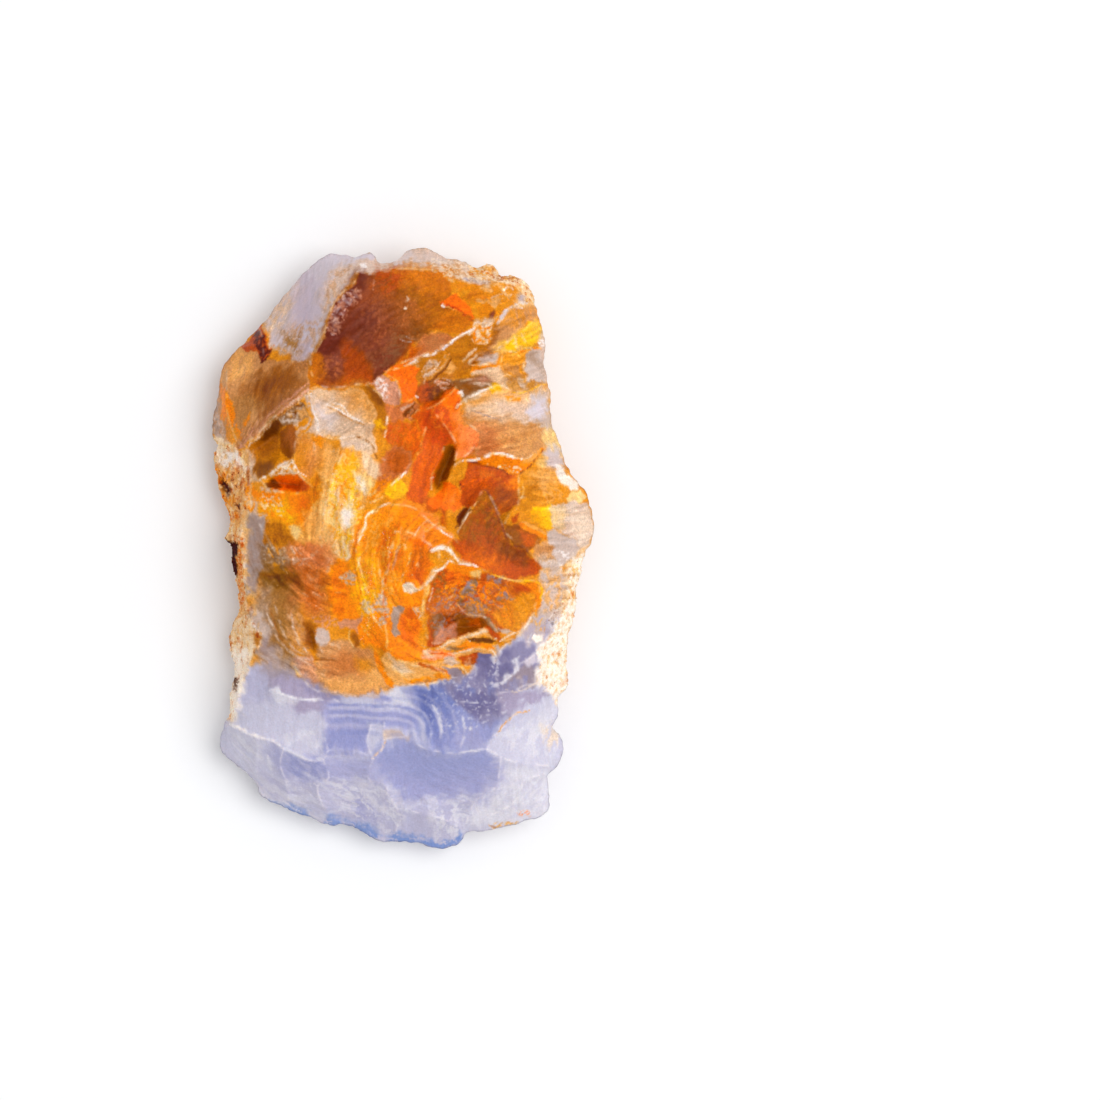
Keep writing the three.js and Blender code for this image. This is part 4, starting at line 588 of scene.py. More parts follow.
burnt_orange 0.6 0.7 0.8 0.7: 46,-18 52,-34 48,-54 34,-44 27,-44 30,-24
rose_brown 0.7 0.8: 50,-40 50,-60 38,-60 26,-64 26,-46 40,-38
grey_brown 0.12 0.7 0.35 0.4: 30,-20 44,-20 44,-40 29,-44
orange 0.15 1: 73,-18 72,-22 52,-26 39,-16 41,-11 64,-14
bright_orange 0.3 0.8 0.5 0.6: 40,-18 60,-22 62,-29 50,-32 42,-26
straw 0.2 0.9: 62,-19 72,-19 70,-25 63,-24
rose_brown 0.5 0.8 1.2 0.8: 80,-26 103,-29 106,-42 90,-46 79,-40
bright_orange 0.2 0.8 0.7 0.75: 68,-27 79,-28 80,-39 73,-39 68,-34
bright_orange 0.2 0.75 0.7 0.75: 66,-42 81,-40 81,-49 70,-50
grey_brown 0.3 0.9 1.4 0.9: 55,-50 64,-44 82,-52 80,-59 70,-61 60,-58
pink_tan 0.3 0.5 0.5 0.5: 57,-49 66,-46 80,-53 70,-60
grey_brown 0.15 1 1.4 0.92: 67,-25 69,-30 67,-38 64,-44 60,-48 55,-50 51,-44 55,-36 59,-32 61,-26
grey_mauve 0.15 0.8 0.8 0.6: 68,-26 68,-34 60,-36 54,-50 52,-44 62,-26
grey_mauve 0.12 0.8 0.5 0.7: 77,-22 92,-26 91,-32 79,-28
grey_mauve 0.12 0.9 0.5 0.75: 88,-38 104,-42 104,-45 92,-46 88,-48
amber 0.5 1: 123,-36 121,-52 116,-64 109,-74 98,-73 88,-68 82,-60 92,-48
deep_amber 0.6 0.8 0.6 0.7: 86,-50 102,-48 104,-70 90,-68
orange 0.2 0.9: 112,-31 123,-30 128,-34 126,-46 122,-58 119,-52 122,-42 118,-36
brown 0.25 1: 49,-58 74,-60 81,-68 62,-75 50,-77 48,-66
burnt_orange 0.3 0.6: 60,-60 70,-61 70,-69 62,-69
grey_brown 0.12 1: 74,-59 80,-62 90,-74 86,-74 75,-63
amber 0.2 0.95: 109,-74 102,-80 90,-83 88,-75 98,-72
warm_grey 0.12 0.8: 90,-72 98,-72 97,-76 91,-76
dark_brown 0.25 0.8 0.6 0.75: 33,-59 50,-59 51,-67 36,-67
grey_brown 0.25 0.8 0.5 0.7: 26,-56 38,-59 39,-76 29,-80
pink_tan 0.3 0.9 0.8 0.8: 50,-68 51,-78 39,-84 30,-83 32,-74 36,-68
grey_mauve 0.8 0.65 0.45 0.35: 26,-70 30,-44 60,-26 92,-30 96,-48 72,-58 50,-62 36,-80
orange 0.7 0.75 0.4 0.35: 28,-56 34,-26 60,-22 104,-34 98,-62 66,-58 46,-48
light_amber 0.12 1: 30,-90 50,-79 75,-70 86,-81 76,-76 35,-91
dark_olive 0.12 0.9 0.8 0.85: 60,-81 70,-79 80,-79 85,-81 82,-84 70,-84 61,-84
orange 0.1 1: 85,-89 52,-91 48,-87 58,-84 82,-85
grey_brown 0.12 0.9: 39,-88 51,-86 59,-88 50,-91 42,-91
salmon 0.2 1 -5 0.3 0.9: 19,-90 50,-93 56,-96 44,-99 30,-100 19,-98
pale_cream 0.1 0.7 -10 0.25 0.4: 20,-90 54,-94 50,-99 20,-99
red_orange 0.1 0.7 -10 0.25 0.3: 26,-92 56,-95 50,-98 26,-98
light_amber 0.1 1: 48,-93 60,-90 80,-88 84,-90 86,-96 83,-96 78,-93 60,-94 53,-96
rust 0.12 1: 53,-95 70,-93 70,-103 63,-104 56,-102
pearl_tan 0.12 0.9: 39,-98 49,-96 54,-100 46,-104 40,-103
rust 0.12 0.85: 16,-101 26,-103 38,-108 44,-112 36,-111 16,-104
grey_mauve 0.12 1: 38,-106 50,-106 57,-114 54,-120 48,-119
dark_slate 0.15 1: 80,-93 83,-98 80,-106 72,-110 67,-106 70,-94
# blue end
lilac 0.8 0.9: -108,-116 -116,-132 -144,-140 -152,-120 -150,-105 -126,-106
grey_mauve 0.9 0.75: -130,-104 -98,-104 -70,-126 -76,-133 -100,-128 -120,-118
mauve 0.5 0.95: -118,-117 -90,-114 -52,-134 -60,-146 -94,-148 -102,-134 -114,-127
slate 0.4 0.6: -92,-122 -82,-122 -62,-131 -52,-138 -74,-135
frost 0.4 0.7 1.6 0.5: -104,-166 -70,-160 -69,-180 -86,-184 -104,-176
frost 0.3 0.8: -119,-127 -112,-127 -104,-132 -92,-135 -96,-139 -113,-138
lavender 0.5 0.95: 16,-130 14,-164 -14,-160 -30,-184 -67,-182 -70,-136 -40,-134 -4,-128
periwinkle 0.6 0.7: -66,-163 -31,-162 -30,-179 -68,-180
pale_lilac 0.3 0.9 0 0.4 0.6: -54,-133 -16,-130 12,-138 14,-145 -52,-142
frost 0.3 0.9: -16,-128 -2,-125 6,-132 10,-140 -4,-137
pale_lilac 0.3 0.95: -17,-156 -15,-178 -24,-186 -30,-176 -29,-156
warm_grey 0.2 0.85: -16,-162 -2,-163 10,-170 9,-174 -4,-170 -15,-170
lace_blue 0.6 0.9: 54,-118 56,-142 44,-156 32,-176 24,-166 12,-123
deep_blue 0.5 0.8: 17,-129 29,-126 30,-156 22,-154
periwinkle 0.6 0.9: 94,-156 80,-172 50,-182 26,-180 30,-150 54,-138 80,-144
lavender 0.7 0.85: 46,-166 74,-162 77,-180 50,-182
slate 0.6 1: 36,-122 66,-110 100,-83 118,-83 124,-94 123,-118 102,-125 100,-146 78,-160 62,-144 50,-140
lace_blue 0.5 0.6 2 0.6: 40,-122 84,-114 84,-134 50,-146
dark_slate 0.6 0.85 2 0.8: 50,-126 84,-128 88,-146 68,-150 50,-138
dark_slate 0.4 0.8 1.6 0.75: 100,-90 100,-110 84,-120 68,-116 70,-104 86,-90
grey_mauve 0.3 0.9 1.6 0.85: 92,-124 106,-106 114,-102 123,-110 122,-122 104,-125
mauve 0.4 0.95 1.8 0.9: 86,-130 128,-124 134,-131 122,-140 106,-147 90,-146
frost 0.25 0.85 0.8 0.7: 108,-98 106,-110 92,-122 89,-120 100,-109 98,-100
frost 0.2 0.7 0.5 0.35: 81,-94 89,-96 88,-126 82,-126
pearl 0.25 0.9: 113,-97 121,-96 122,-103 114,-104
frost 0.15 0.6 0.35 0.08: 88,-106 96,-146 64,-164 26,-168 20,-120
frost 1 0.9 2.2 0.7: 90,-168 138,-144 138,-190 100,-188
pale_cream 0.5 0.8 0.8 0.6: 126,-160 142,-160 144,-178 130,-178
periwinkle 0.7 0.8: 88,-204 76,-218 10,-226 -10,-214 -26,-192 -16,-172 4,-170 24,-180 50,-183 78,-180
  86,-188
lavender 1 0.8: -12,-194 20,-210 76,-198 86,-210 64,-228 20,-232 -10,-222
lilac 0.8 0.8: 102,-194 98,-210 74,-226 50,-236 34,-232 68,-220 84,-204 82,-189
lavender 0.8 0.8: -120,-176 -94,-187 -30,-186 -18,-200 -24,-210 -74,-212 -112,-208
periwinkle 0.5 0.6 80 0.5 0.6: -106,-182 -70,-190 -70,-210 -98,-206
frost 0.7 0.6 -20 0.6 0.5: -158,-160 -128,-172 -128,-200 -144,-194 -156,-176
lilac 0.9 0.9: -132,-200 -72,-214 -76,-246 -128,-228
frost 1 0.7 -25 1 0.7: -144,-206 -120,-210 -80,-226 -76,-250 -120,-236 -144,-220
frost 0.5 0.6 0.5 0.2: -106,-206 -66,-208 -64,-234 -104,-224
lilac 0.9 0.9: -72,-208 -20,-206 4,-230 60,-230 56,-268 -10,-270 -72,-250
frost 0.8 0.75 -55 0.6 0.55: -68,-210 -12,-212 4,-236 -4,-260 -50,-246
lavender 0.6 0.8 -55 0.5 0.7: -46,-228 -26,-230 -20,-248 -42,-246
frost 0.8 0.8 -65 0.6 0.6: 20,-230 62,-226 54,-262 30,-262
frost 0.7 0.9: 134,-200 134,-244 94,-250 64,-252 60,-240 80,-228 96,-210 94,-194
lilac 0.6 0.35 0.9 0.45: 129,-204 132,-236 96,-244 84,-236 102,-208
# blue glow at the thin edges
rim_blue 0.4 0.8 1.4 0.7: -80,-242 -90,-249 -132,-238 -129,-227 -94,-235
rim_blue 0.5 0.85 -25 0.5 0.8: -70,-241 -26,-253 -20,-262 -30,-270 -72,-256
rim_blue 0.4 0.9 -15 0.4 0.8: 58,-266 32,-280 -16,-272 -12,-259 10,-261 32,-266 46,-266 53,-259
salmon 0.15 0.8 0.5 0.5: 104,-238 117,-239 116,-244 104,-242
crust_ochre 0.15 0.8 0.6 0.5: 78,-250 106,-246 104,-250 82,-255
# weathered crust down the left side
crust_cream 0.3 1: -180,102 -165,102 -142,87 -137,70 -135,33 -142,28 -144,0 -141,-12 -140,-35 -142,-53
  -129,-77 -128,-84 -138,-102 -143,-120 -149,-128 -153,-156 -170,-156 -180,0
light_amber 0.5 0.6 1.6 0.6: -180,100 -150,93 -136,70 -134,30 -140,0 -140,-60 -156,-60 -180,20
crust_ochre 0.15 0.5 0.7 0.35: -180,102 -156,96 -140,87 -136,50 -140,0 -126,-82 -148,-134 -170,-130
light_amber 0.3 0.6 0.8 0.5: -158,76 -142,74 -139,40 -146,20 -154,24
orange 0.2 0.6 0.9 0.5: -178,74 -158,74 -150,28 -160,20 -170,40
crust_rust 0.15 0.4 0.5 0.22: -174,80 -140,76 -138,34 -152,20 -166,30
burnt_orange 0.12 0.8 0.5 0.4: -152,14 -144,10 -142,-50 -150,-50
crust_rust 0.15 0.9: -140,76 -138,75 -137,56 -139,40
orange 0.15 0.8 0.6 0.6: -142,60 -134,60 -128,46 -136,32 -142,40
white 0.5 0.8 1.2 0.7: -169,92 -142,88 -138,74 -166,74
crust_pale 0.6 0.9: -136,-90 -150,-156 -160,-150 -160,-90
crust_pit 0.3 0.95 0.5 0.8: -166,64 -160,62 -157,54 -160,50 -165,54
crust_pit 0.1 0.9: -149,42 -146,40 -147,35 -149,39 -152,40
crust_pit 0.1 0.95: -163,9 -152,7 -148,5 -151,-10 -151,-24 -156,-22 -158,4
crust_pit 0.2 0.85 0.4 0.8: -156,-117 -150,-118 -150,-128 -154,-128
gold_brown 0.2 0.9: -135,-75 -127,-75 -127,-85 -132,-86
# weathered crust down the right side
warm_grey 0.6 0.9 1.4 0.85: 148,-10 150,-40 144,-58 134,-70 126,-86 110,-80 108,-74 120,-60 128,-44 124,-8
mauve 0.4 0.6 0.9 0.6: 128,-58 136,-70 126,-84 112,-86 110,-72
light_amber 0.5 0.75 0.8 0.5: 128,-20 146,-20 144,-54 126,-56
crust_ochre 0.15 0.9 0.6 0.5: 120,-64 128,-63 129,-73 122,-74
crust_pale 0.4 1: 172,6 154,-8 149,-22 150,-45 135,-75 122,-93 125,-100 121,-120 129,-124 135,-130 140,-142
  160,-134 170,-40
crust_pale 0.12 1: 120,-76 126,-76 127,-82 122,-84 119,-81
crust_ochre 0.15 0.5 0.6 0.2: 172,6 150,-10 148,-50 124,-90 122,-120 140,-142 152,-134 152,-80 170,-10
crust_ochre 0.2 0.8 0.9 0.4: 152,-10 160,-14 156,-50 149,-48
# last touches to the lace and the upper right
deep_blue 0.9 0.3: 4,-122 36,-124 46,-136 44,-172 20,-176 12,-160 6,-146
pale_cream 0.12 0.75 0.5 0.42: 28,250 44,243 60,239 76,238 88,242 92,250 70,258 44,262 26,264
cream 0.12 0.5 0.9 0.4: 66,222 84,216 98,222 100,236 84,240 70,236
"""

# Fine lines drawn over the markings: colour, width and softness in millimetres, strength and path. The
# number of a row is its seed.
# The white and pale lines along the ridges are partly chipped pale edges and partly painted highlights.
# painted glint
# painted glint on the lip above the orange sliver
# pale ridges: chipped pale edges with painted highlights on them
# pale scratches and bright flecks in the dark scoop, drawn as painted glints
# the yellow line along the bowl's upper rim is partly a painted highlight
STROKES = """
# scratches and sparks in the dark scoop
pale_cream 0.14 0.08 0.9: 5,221 6,224 5.5,228
pale_cream 0.16 0.08 0.9: 3,216 5.5,215
warm_grey 0.12 0.08 0.7: 0,189 5,186 11,185
warm_grey 0.12 0.08 0.6: 4,192 10,188 17,188
pink_tan 0.14 0.1 0.6: -24.5,246 -23.5,240 -24,232
# pale ridges
white 0.22 0.12 0.9: 6,165 22,172.5 28,173.5 42,182 50,188 69,199
lilac 0.12 0.1 0.6: 30,176 39,180 56,191
pearl 0.35 0.15 0.9: 87,202 92,210 100,217 106,221 114,223
white 0.2 0.1 0.8: 102,217 110,217.5
pearl_tan 0.2 0.12 0.7: 81,226 86,229 91,229.5
white 0.2 0.1 0.9: 91.5,231 93,235 98,236.5 101,234
pale_cream 0.2 0.1 0.8: 91.5,231 95,228.5 99.5,229.5
white 0.28 0.1 0.95: 37.5,219.5 41,218
light_amber 0.2 0.12 0.9: 41,218 50,214
orange 0.2 0.1 0.9: 81,176 90,178 100,176.5 124,181.5 129,181
straw 0.14 0.1 0.8: 82,177.5 92,179 102,177.5 114,180.5
yellow 0.16 0.1 0.8: 100,141 110,141 130,150
pale_cream 0.16 0.1 0.8: 65,147.5 72,149.5 80,146.5 84,143
pale_cream 0.16 0.1 0.7: -9,159 20,169
dark_brown 0.16 0.1 0.8: 24,149 32,154 39,161 46,170
light_amber 0.14 0.1 0.8: 22,151 30,156 37,163 43,171
pale_cream 0.12 0.08 0.7: 20,154 28,159 40,173
pearl_tan 0.14 0.08 0.8: 31,145 36,149 43,148 41,144 36,144
pearl_tan 0.12 0.08 0.7: 29,149 36,153 44,151 47,148
white 0.14 0.08 0.8: 13.5,137.5 17,135.5
grey_mauve 0.14 0.1 0.6: 62,125 90,116
red_orange 0.25 0.12 0.9: 37,220.5 50,215.5 65,204
white 0.2 0.12 0.9: 50,126 55,131 63,137 72,141 82,144
white 0.6 0.2 0.85: 53,136 55,141
pale_cream 0.5 0.25 0.75: 58,132 66,137 76,140
white 0.14 0.12 0.75: -80,140 -78,124 -74,112 -73,102
# cream scar and the shoulder beside it
pale_cream 0.25 0.12 0.8: -80,142 -112,117 -138,92
brown 0.16 0.12 0.8: -83,140 -114,115 -128,102
olive 0.2 0.15 0.85: -40,101.5 -33,99 -28,95 -25,91 -20,80
pale_cream 0.15 0.1 0.8: -42,99 -33,96 -28,91 -26,86 -22,80
pale_cream 0.16 0.1 0.8: -11,120 -14,100
white 0.14 0.1 0.8: -66,130 -58,127 -43,117 -32,113
gold_brown 0.14 0.1 0.7: -66,128 -58,125 -42,114 -32,111
white 0.12 0.1 0.7: -60,131 -53,129 -46,121 -40,116
# round the dome in the centre
white 0.18 0.12 0.75: -7,41 -16,39 -30,29 -32,20 -38,5
white 0.16 0.1 0.9: -9,56 2,66 5,70
white 0.14 0.1 0.85: -21,50 -14,54
white 0.14 0.1 0.85: -30,40 -15,47
white 0.16 0.1 0.85: 27,20 33,20 36,17 46,10
pale_cream 0.14 0.1 0.7: 12,12 16,16 21,24 25,26
white 0.4 0.15 0.9: 27,-1 41,1 46,-5
near_black 0.2 0.1 0.9: 52.5,58 53.5,57.5
white 0.12 0.1 0.8: 27,63 30,64.5
# step below the clear fans, and the brown triangle
white 0.22 0.1 0.95: 56,79.5 68,80 86,86 109,80.5
maroon 0.16 0.1 0.85: 60,78.5 85,73 103,67 109,69 129,90
pale_cream 0.14 0.1 0.85: 51,15 60,30 70,43
maroon 0.25 0.15 0.85: 77,54 85,38 88,28 94,14 100,5 112,1 118,-6
straw 0.16 0.12 0.75: 110,59 110,50 108,45
# veins in the orange
pale_cream 0.16 0.12 0.8: -12,-20 -15,-26 -17,-46
pink_tan 0.2 0.12 0.8: -3,2 -4,-10 -7,-18
red_orange 0.2 0.15 0.6: -7,-4 -14,-35 -15,-50 -13,-65
pale_cream 0.12 0.1 0.7: 4,-20 1,-28
pale_cream 0.14 0.1 0.7: -35,-6 -38,-16 -42,-20
straw 0.14 0.1 0.7: 10,-2 6,-14
pale_cream 0.25 0.12 0.9: 16,-36 21,-33 40,-14
straw 0.14 0.1 0.7: -46,-72 -46,-82 -42,-89
straw 0.14 0.1 0.6: -36,-30 -29,-60 -30,-74
# bowl and the ledges below it
white 0.22 0.12 0.9: 45,-10 52,-13 60,-13 70,-16
white 0.2 0.12 0.9: 43,1 54,-12
white 0.2 0.12 0.85: 45,-10 41,-13 39,-17 31,-20
straw 0.3 0.15 0.75: 26,-30 21,-50 21,-60 18,-64
pale_cream 0.12 0.1 0.7: 29,-34 25,-54
yellow 0.16 0.12 0.85: 80,-22 100,-28 123,-29.5 127,-37 125,-46 121,-56
pale_cream 0.18 0.1 0.85: 121,-52 118,-60 109,-73 100,-76 89,-82
white 0.25 0.1 0.9: 74.5,-61.5 76,-61.5
warm_grey 0.12 0.1 0.8: 82,-62 90,-73 100,-74
pale_cream 0.2 0.1 0.85: 32,-90 50,-81 62,-78 72,-74 79,-74 86,-80
pale_cream 0.12 0.1 0.7: 46,-94 64,-90 74,-89.5 81,-90 85,-95
# arcs at the lower left
pearl_tan 0.2 0.15 0.65: -122,-50 -120,-60 -113,-76 -104,-88 -94,-96 -80,-100
pearl_tan 0.18 0.12 0.6: -114,-50 -110,-64 -104,-78 -96,-89 -86,-96
brown 0.2 0.12 0.5: -118,-52 -114,-66 -108,-79 -98,-92
pearl_tan 0.18 0.12 0.7: -99,-56 -97,-72 -90,-86 -83,-94
brown 0.14 0.1 0.7: -80,-99 -56,-100
straw 0.16 0.12 0.7: -97,-106 -82,-123
white 0.14 0.1 0.75: -127,64 -119,66.5 -106,77 -98,78 -92,71 -84,66
# ledges, and the foot of the amber
pale_cream 0.2 0.15 0.8: 0,-121 20,-121 37,-118 46,-114
straw 0.2 0.15 0.6: -8,-96 10,-103 26,-107 39,-112
pearl_tan 0.3 0.25 0.7: -74,-127 -32,-132 -14,-130 -5,-124
# blue end
frost 0.25 0.12 0.9: -119,-126 -112,-127 -103,-132 -94,-134 -84,-135 -70,-135
white 0.3 0.2 0.85: -158,-158 -126,-170 -114,-173 -108,-178
frost 0.3 0.2 0.8: -108,-179 -96,-183 -84,-189 -72,-188
cream 0.16 0.1 0.85: -26,-189 -16,-178 -14,-169 -15,-165
frost 0.14 0.1 0.8: 48,-184 60,-182 75,-181 84,-183
light_amber 0.16 0.1 0.85: 86,-167 100,-150 116,-145
pale_cream 0.12 0.1 0.8: 94,-126 104,-128 122,-121 129,-122
frost 0.3 0.2 0.8: 28,-140 35,-149 36,-160 35,-170
frost 0.25 0.2 0.6: 55,-150 57,-164 54,-178
frost 0.14 0.1 0.7: 52,-137 62,-137 70,-138
frost 0.3 0.15 0.9: 62,-163 64,-160
frost 0.25 0.12 0.9: 43,-159 46,-158
frost 0.3 0.2 0.7: -121,-186 -118,-206
brown 0.16 0.1 0.8: 80,-252 84,-253
frost 0.22 0.15 0.5: -42,-206 -26,-211 -14,-219 -7,-233
frost 0.3 0.25 0.35: -76,-244 -52,-236 -30,-238 -8,-234 12,-240
frost 0.3 0.25 0.4: 25,-237 43,-228 60,-223 74,-220
frost 0.3 0.25 0.35: -98,-196 -84,-204 -70,-215 -60,-230
frost 0.25 0.2 0.35: -2,-240 10,-232 24,-229 34,-221
"""

# Blue lace bands: they follow one path, each at its own distance to the side: colour, offset, width, strength
LACE_PATH = "-75,-139 -40,-139 -14,-141 6,-143 19,-150 24,-162 24,-178"
LACE_AREA = (
    "-69,-129 -5,-126 34,-122 52,-128 64,-144 60,-176 10,-174 -14,-168 -30,-182 -64,-180 -69,-160"
)
LACE_BANDS = [
    ("pale_lilac", 1.15, 0.3, 0.5), ("lace_blue", 0.75, 0.3, 0.4), ("pale_lilac", 0.3, 0.25, 0.6),
    ("lace_blue", 0, 0.25, 0.5), ("pale_lilac", -0.35, 0.3, 0.6), ("lace_blue", -0.75, 0.35, 0.4),
    ("pale_lilac", -1.1, 0.22, 0.5), ("lace_blue", -1.5, 0.4, 0.35), ("lilac", -1.95, 0.25, 0.5),
    ("lace_blue", -2.5, 0.4, 0.3), ("lilac", 1.7, 0.25, 0.45),
    ("lace_blue", 2.1, 0.4, 0.3), ("lilac", 2.6, 0.3, 0.4),
]

# Ripples left by the breaks: centre, distance between waves and height in millimetres, strength of the fine
# lines, and the area that they cross
RIPPLES = """
-30 27 0.9 0.03 0.6: -129,209 -90,259 -30,273 -39,249 -64,210 -83,168 -116,183
10.5 3 0.8 0.07 0.5: -80,154 -64,204 -39,248 40,248 90,230 64,204 12,183 -25,150 -68,144
4 32 0.7 0.04 0.8: 12,174 66,200 94,214 130,220 135,116 110,84 56,82 50,124 64,142 30,150
-4.5 12 0.7 0.06 0.8: -174,110 -168,170 -125,174 -90,168 -84,144 -110,120 -138,94 -160,100
-10.5 18.5 0.55 0.06 0.8: -80,140 -34,144 -16,120 -24,86 -44,96 -60,100 -76,106
20 2 0.7 0.03 0.8: -86,100 -24,84 -16,56 -42,30 -44,-10 -90,4 -94,50
30 0 0.8 0.03 0.5: -16,150 46,170 70,104 50,74 52,26 20,40 -16,56 -18,90
5 -1 0.9 0.05 1: -40,30 -20,46 0,50 30,34 40,10 30,-10 18,-40 16,-80 44,-114 -10,-130 -50,-90 -50,0
-4 3 0.9 0.05 0.9: -144,20 -90,10 -50,-10 -46,-60 -50,-126 -90,-120 -136,-100 -144,-40
14 -1.5 0.7 0.06 0.8: 46,76 104,64 106,40 124,-10 70,-14 52,4 54,30
13 25 0.9 0.03 0.8: 104,66 130,90 150,80 180,40 170,0 150,-60 126,-30 124,-4 106,40
6 -8.5 0.7 0.06 0.6: 26,-30 50,-16 124,-32 120,-60 88,-80 30,-86
5 -28 0.6 0.04 0.8: 20,-88 86,-80 86,-98 58,-114 44,-116 20,-106
9.5 -10 0.8 0.05 0.4: 10,-186 86,-186 86,-210 54,-240 10,-240
-3 -10 0.8 0.05 0.4: -160,-170 -100,-180 -30,-190 -30,-250 -120,-230 -160,-190
"""

# Areas with painted glints of crystal, pale flecks where its tiny faces catch the light: strength, softness
# and outline
GLINT_AREAS = """
0.75 0.6: -56,88 -46,92 -34,76 -18,60 -32,34 -38,10 -42,-14 -66,-10 -76,16 -68,46 -62,70
0.7 0.8: -40,30 -10,36 -4,0 -10,-60 -6,-110 -36,-116 -46,-60 -50,0
0.35 0.4: -60,228 -36,238 -39,224 -52,204 -52,190 -68,188 -65,206
0.65 0.4: 82,84 108,81 104,70 88,76
0.65 0.5: 24,4 50,6 56,-10 40,-14
0.65 0.5: 20,-84 90,-76 88,-98 56,-110 20,-102
0.6 0.6: 0,34 36,24 24,-30 4,-30 -6,0
0.55 0.6: -90,104 -54,100 -50,80 -88,68
0.5 0.6: -100,4 -50,8 -44,-40 -84,-64 -50,-90 -80,-120 -90,-90 -120,-20
0.45 0.6: 26,-30 50,-20 50,-60 24,-80
0.45 0.6: 0,150 46,150 44,180 4,168
0.35 0.5: 86,-96 126,-90 128,-126 90,-128
"""

PLAIN_LINES = 0.3  # how plain the fine lines are outside the ripples
FRAY = 0.35  # how far the markings run out along the fine lines, in millimetres
MOST_DRIFT = 0.5  # how far soft edges wander, in millimetres
SHARPEST = 0.14  # width of the sharpest edge, in millimetres
STREAKS = 2.2  # how strongly the fine lines darken and lighten the colours
# painted glints drawn out into pale streaks along the fine lines, in the glint areas
GLINT_STREAKS = 0.8  # how pale the veins are in the areas with sparks
# painted glints, pale flecks of light, beside the pale lines along the ridges
GLINTING_LINE_COLOURS = ("white", "pale_cream", "straw")  # lines of these colours have pale sparks beside them
LINE_GLINTS = 0.55  # how strong those sparks are
LINES_ACROSS, LINES_ALONG = 3.0, 0.35  # how fine the lines are, per millimetre
LINE_STEP = 0.35  # distance between the points of a drawn line, in millimetres
BLUNT = ("floor", "foot", "crease", "fold", "mound")  # ridges whose names end so have no pale edge
# sharp ridges are painted paler: partly chipped pale edges, partly painted highlights where they catch the
# light
EDGE_CHIPS_AND_HIGHLIGHT = 0.4  # how far a sharp ridge is lightened
EDGE_CHIPS_AND_HIGHLIGHT_TINT = (0.9, 0.85, 0.8)
SHEEN = (0.022, 0.02, 0.022)  # pale light that the room lays over the colours
GAIN = (0.93, 0.99, 1)  # how much brighter than their value the lit colours look
# painted glitter: tiny crystal faces drawn brighter, as if they caught the light
GLITTER = 0.14  # how much brighter the tiny crystal faces are
MOTTLE_TINT = (0.7, 1, 1.3)  # how strongly mottling changes red, green and blue
TOP_SAG, UNDER_SAG = 0.12, 0.05  # how much the spans between ridges hollow out
SIDE_TOP = 8  # height in millimetres under which the sides are steep
SIDE_X, SIDE_Y = 8, 14  # distance from the middle in millimetres where they face outwards
FIBRE_LENGTH = 6  # how much longer than wide a fibre is
LEAST_FLECK = 0.25  # size of the smallest flecks, in millimetres

# Layers of noise: the height or share and the size in millimetres of each
ROUGHNESS = ((0.035, 0.9), (0.022, 0.42), (0.012, 0.3))
LUMPS = ((0.26, 1.3), (0.16, 0.6), (0.07, 0.33))
PIT_DEPTH, PIT_SIZE = 0.5, 0.9
CRUST_EDGE = ((0.35, 1.1), (0.2, 0.45))
LINE_WAVES = ((0.16, 1.5), (0.07, 0.7))
LACE_WAVES = ((0.12, 1.6), (0.05, 0.5))
DRIFT = ((1, 1.5), (0.8, 0.8), (0.5, 0.4))
MOTTLE = ((0.5, 1.4), (0.6, 0.55), (0.6, 0.3))
GLITTER_LAYERS = ((1, 0.3), (0.5, 0.6))
UNDER_BUMPS = ((0.12, 2.4), (0.06, 1.1))
UNDER_SHADE = ((0.06, 3), (0.05, 1))
STREAK_LAYERS = ((1, 0.45, 3.2), (0.8, 0.28, 2.2))  # share, width and length

# Seeds of the noise; layers and numbered rows count on from theirs
SEEDS = {
    "crust edge": 7, "roughness": 11, "ripple": 14, "ripple strength": 15, "lumps": 21, "pits": 24,
    "drift across": 31, "drift along": 36, "lace": 41, "broken lace": 43, "broken line": 50,
    "finely broken line": 70, "mottle": 61, "glitter": 64, "glitter patches": 66, "rim": 71, "fine rim": 73,
    "under bumps": 75, "blue side": 77, "under shade": 78, "broken ridge": 80, "fine lines": 91,
    "plain lines": 93, "streaks": 95, "veins": 97, "fine glint streaks": 98, "sparks": 99, "pattern": 100,
    "fine fibres": 400, "grains": 3,
}
# Large numbers that scramble the columns, rows and seeds of the noise, and the mixture once more
MIX_COLUMNS, MIX_ROWS, MIX_SEEDS, MIX_AGAIN = 374761393, 668265263, 974711, 1274126177
ALL_BITS = 0xFFFFFFFF
NOISE_HEIGHT = 1.6  # brings the noise to heights from about -1 to 1

CURVE_PARTS = 24  # straight parts of a smooth curve between two corners
LINE_GAP, SPREAD_GAP = 0.55, 0.72  # least gaps between the skin's points, as shares of its spacing
MOST_ROUNDS, SETTLED = 600, 1e-9  # when the heights of the skin are good enough

# Stains on the crust, rusty ones and small dark ones: size in metres, sharpness, start, and the colour they
# let through
STAINS = [
    (0.0009, 2.2, -0.35, (0.8, 0.42, 0.2)),
    (0.00045, 3, -1.5, (0.3, 0.14, 0.08)),
]
# size and colour of the painted glints, the pale flecks of light on the crystal
GLINT_SIZE, GLINT_COLOUR = 0.00017, (1, 0.88, 0.72, 1)  # size in metres
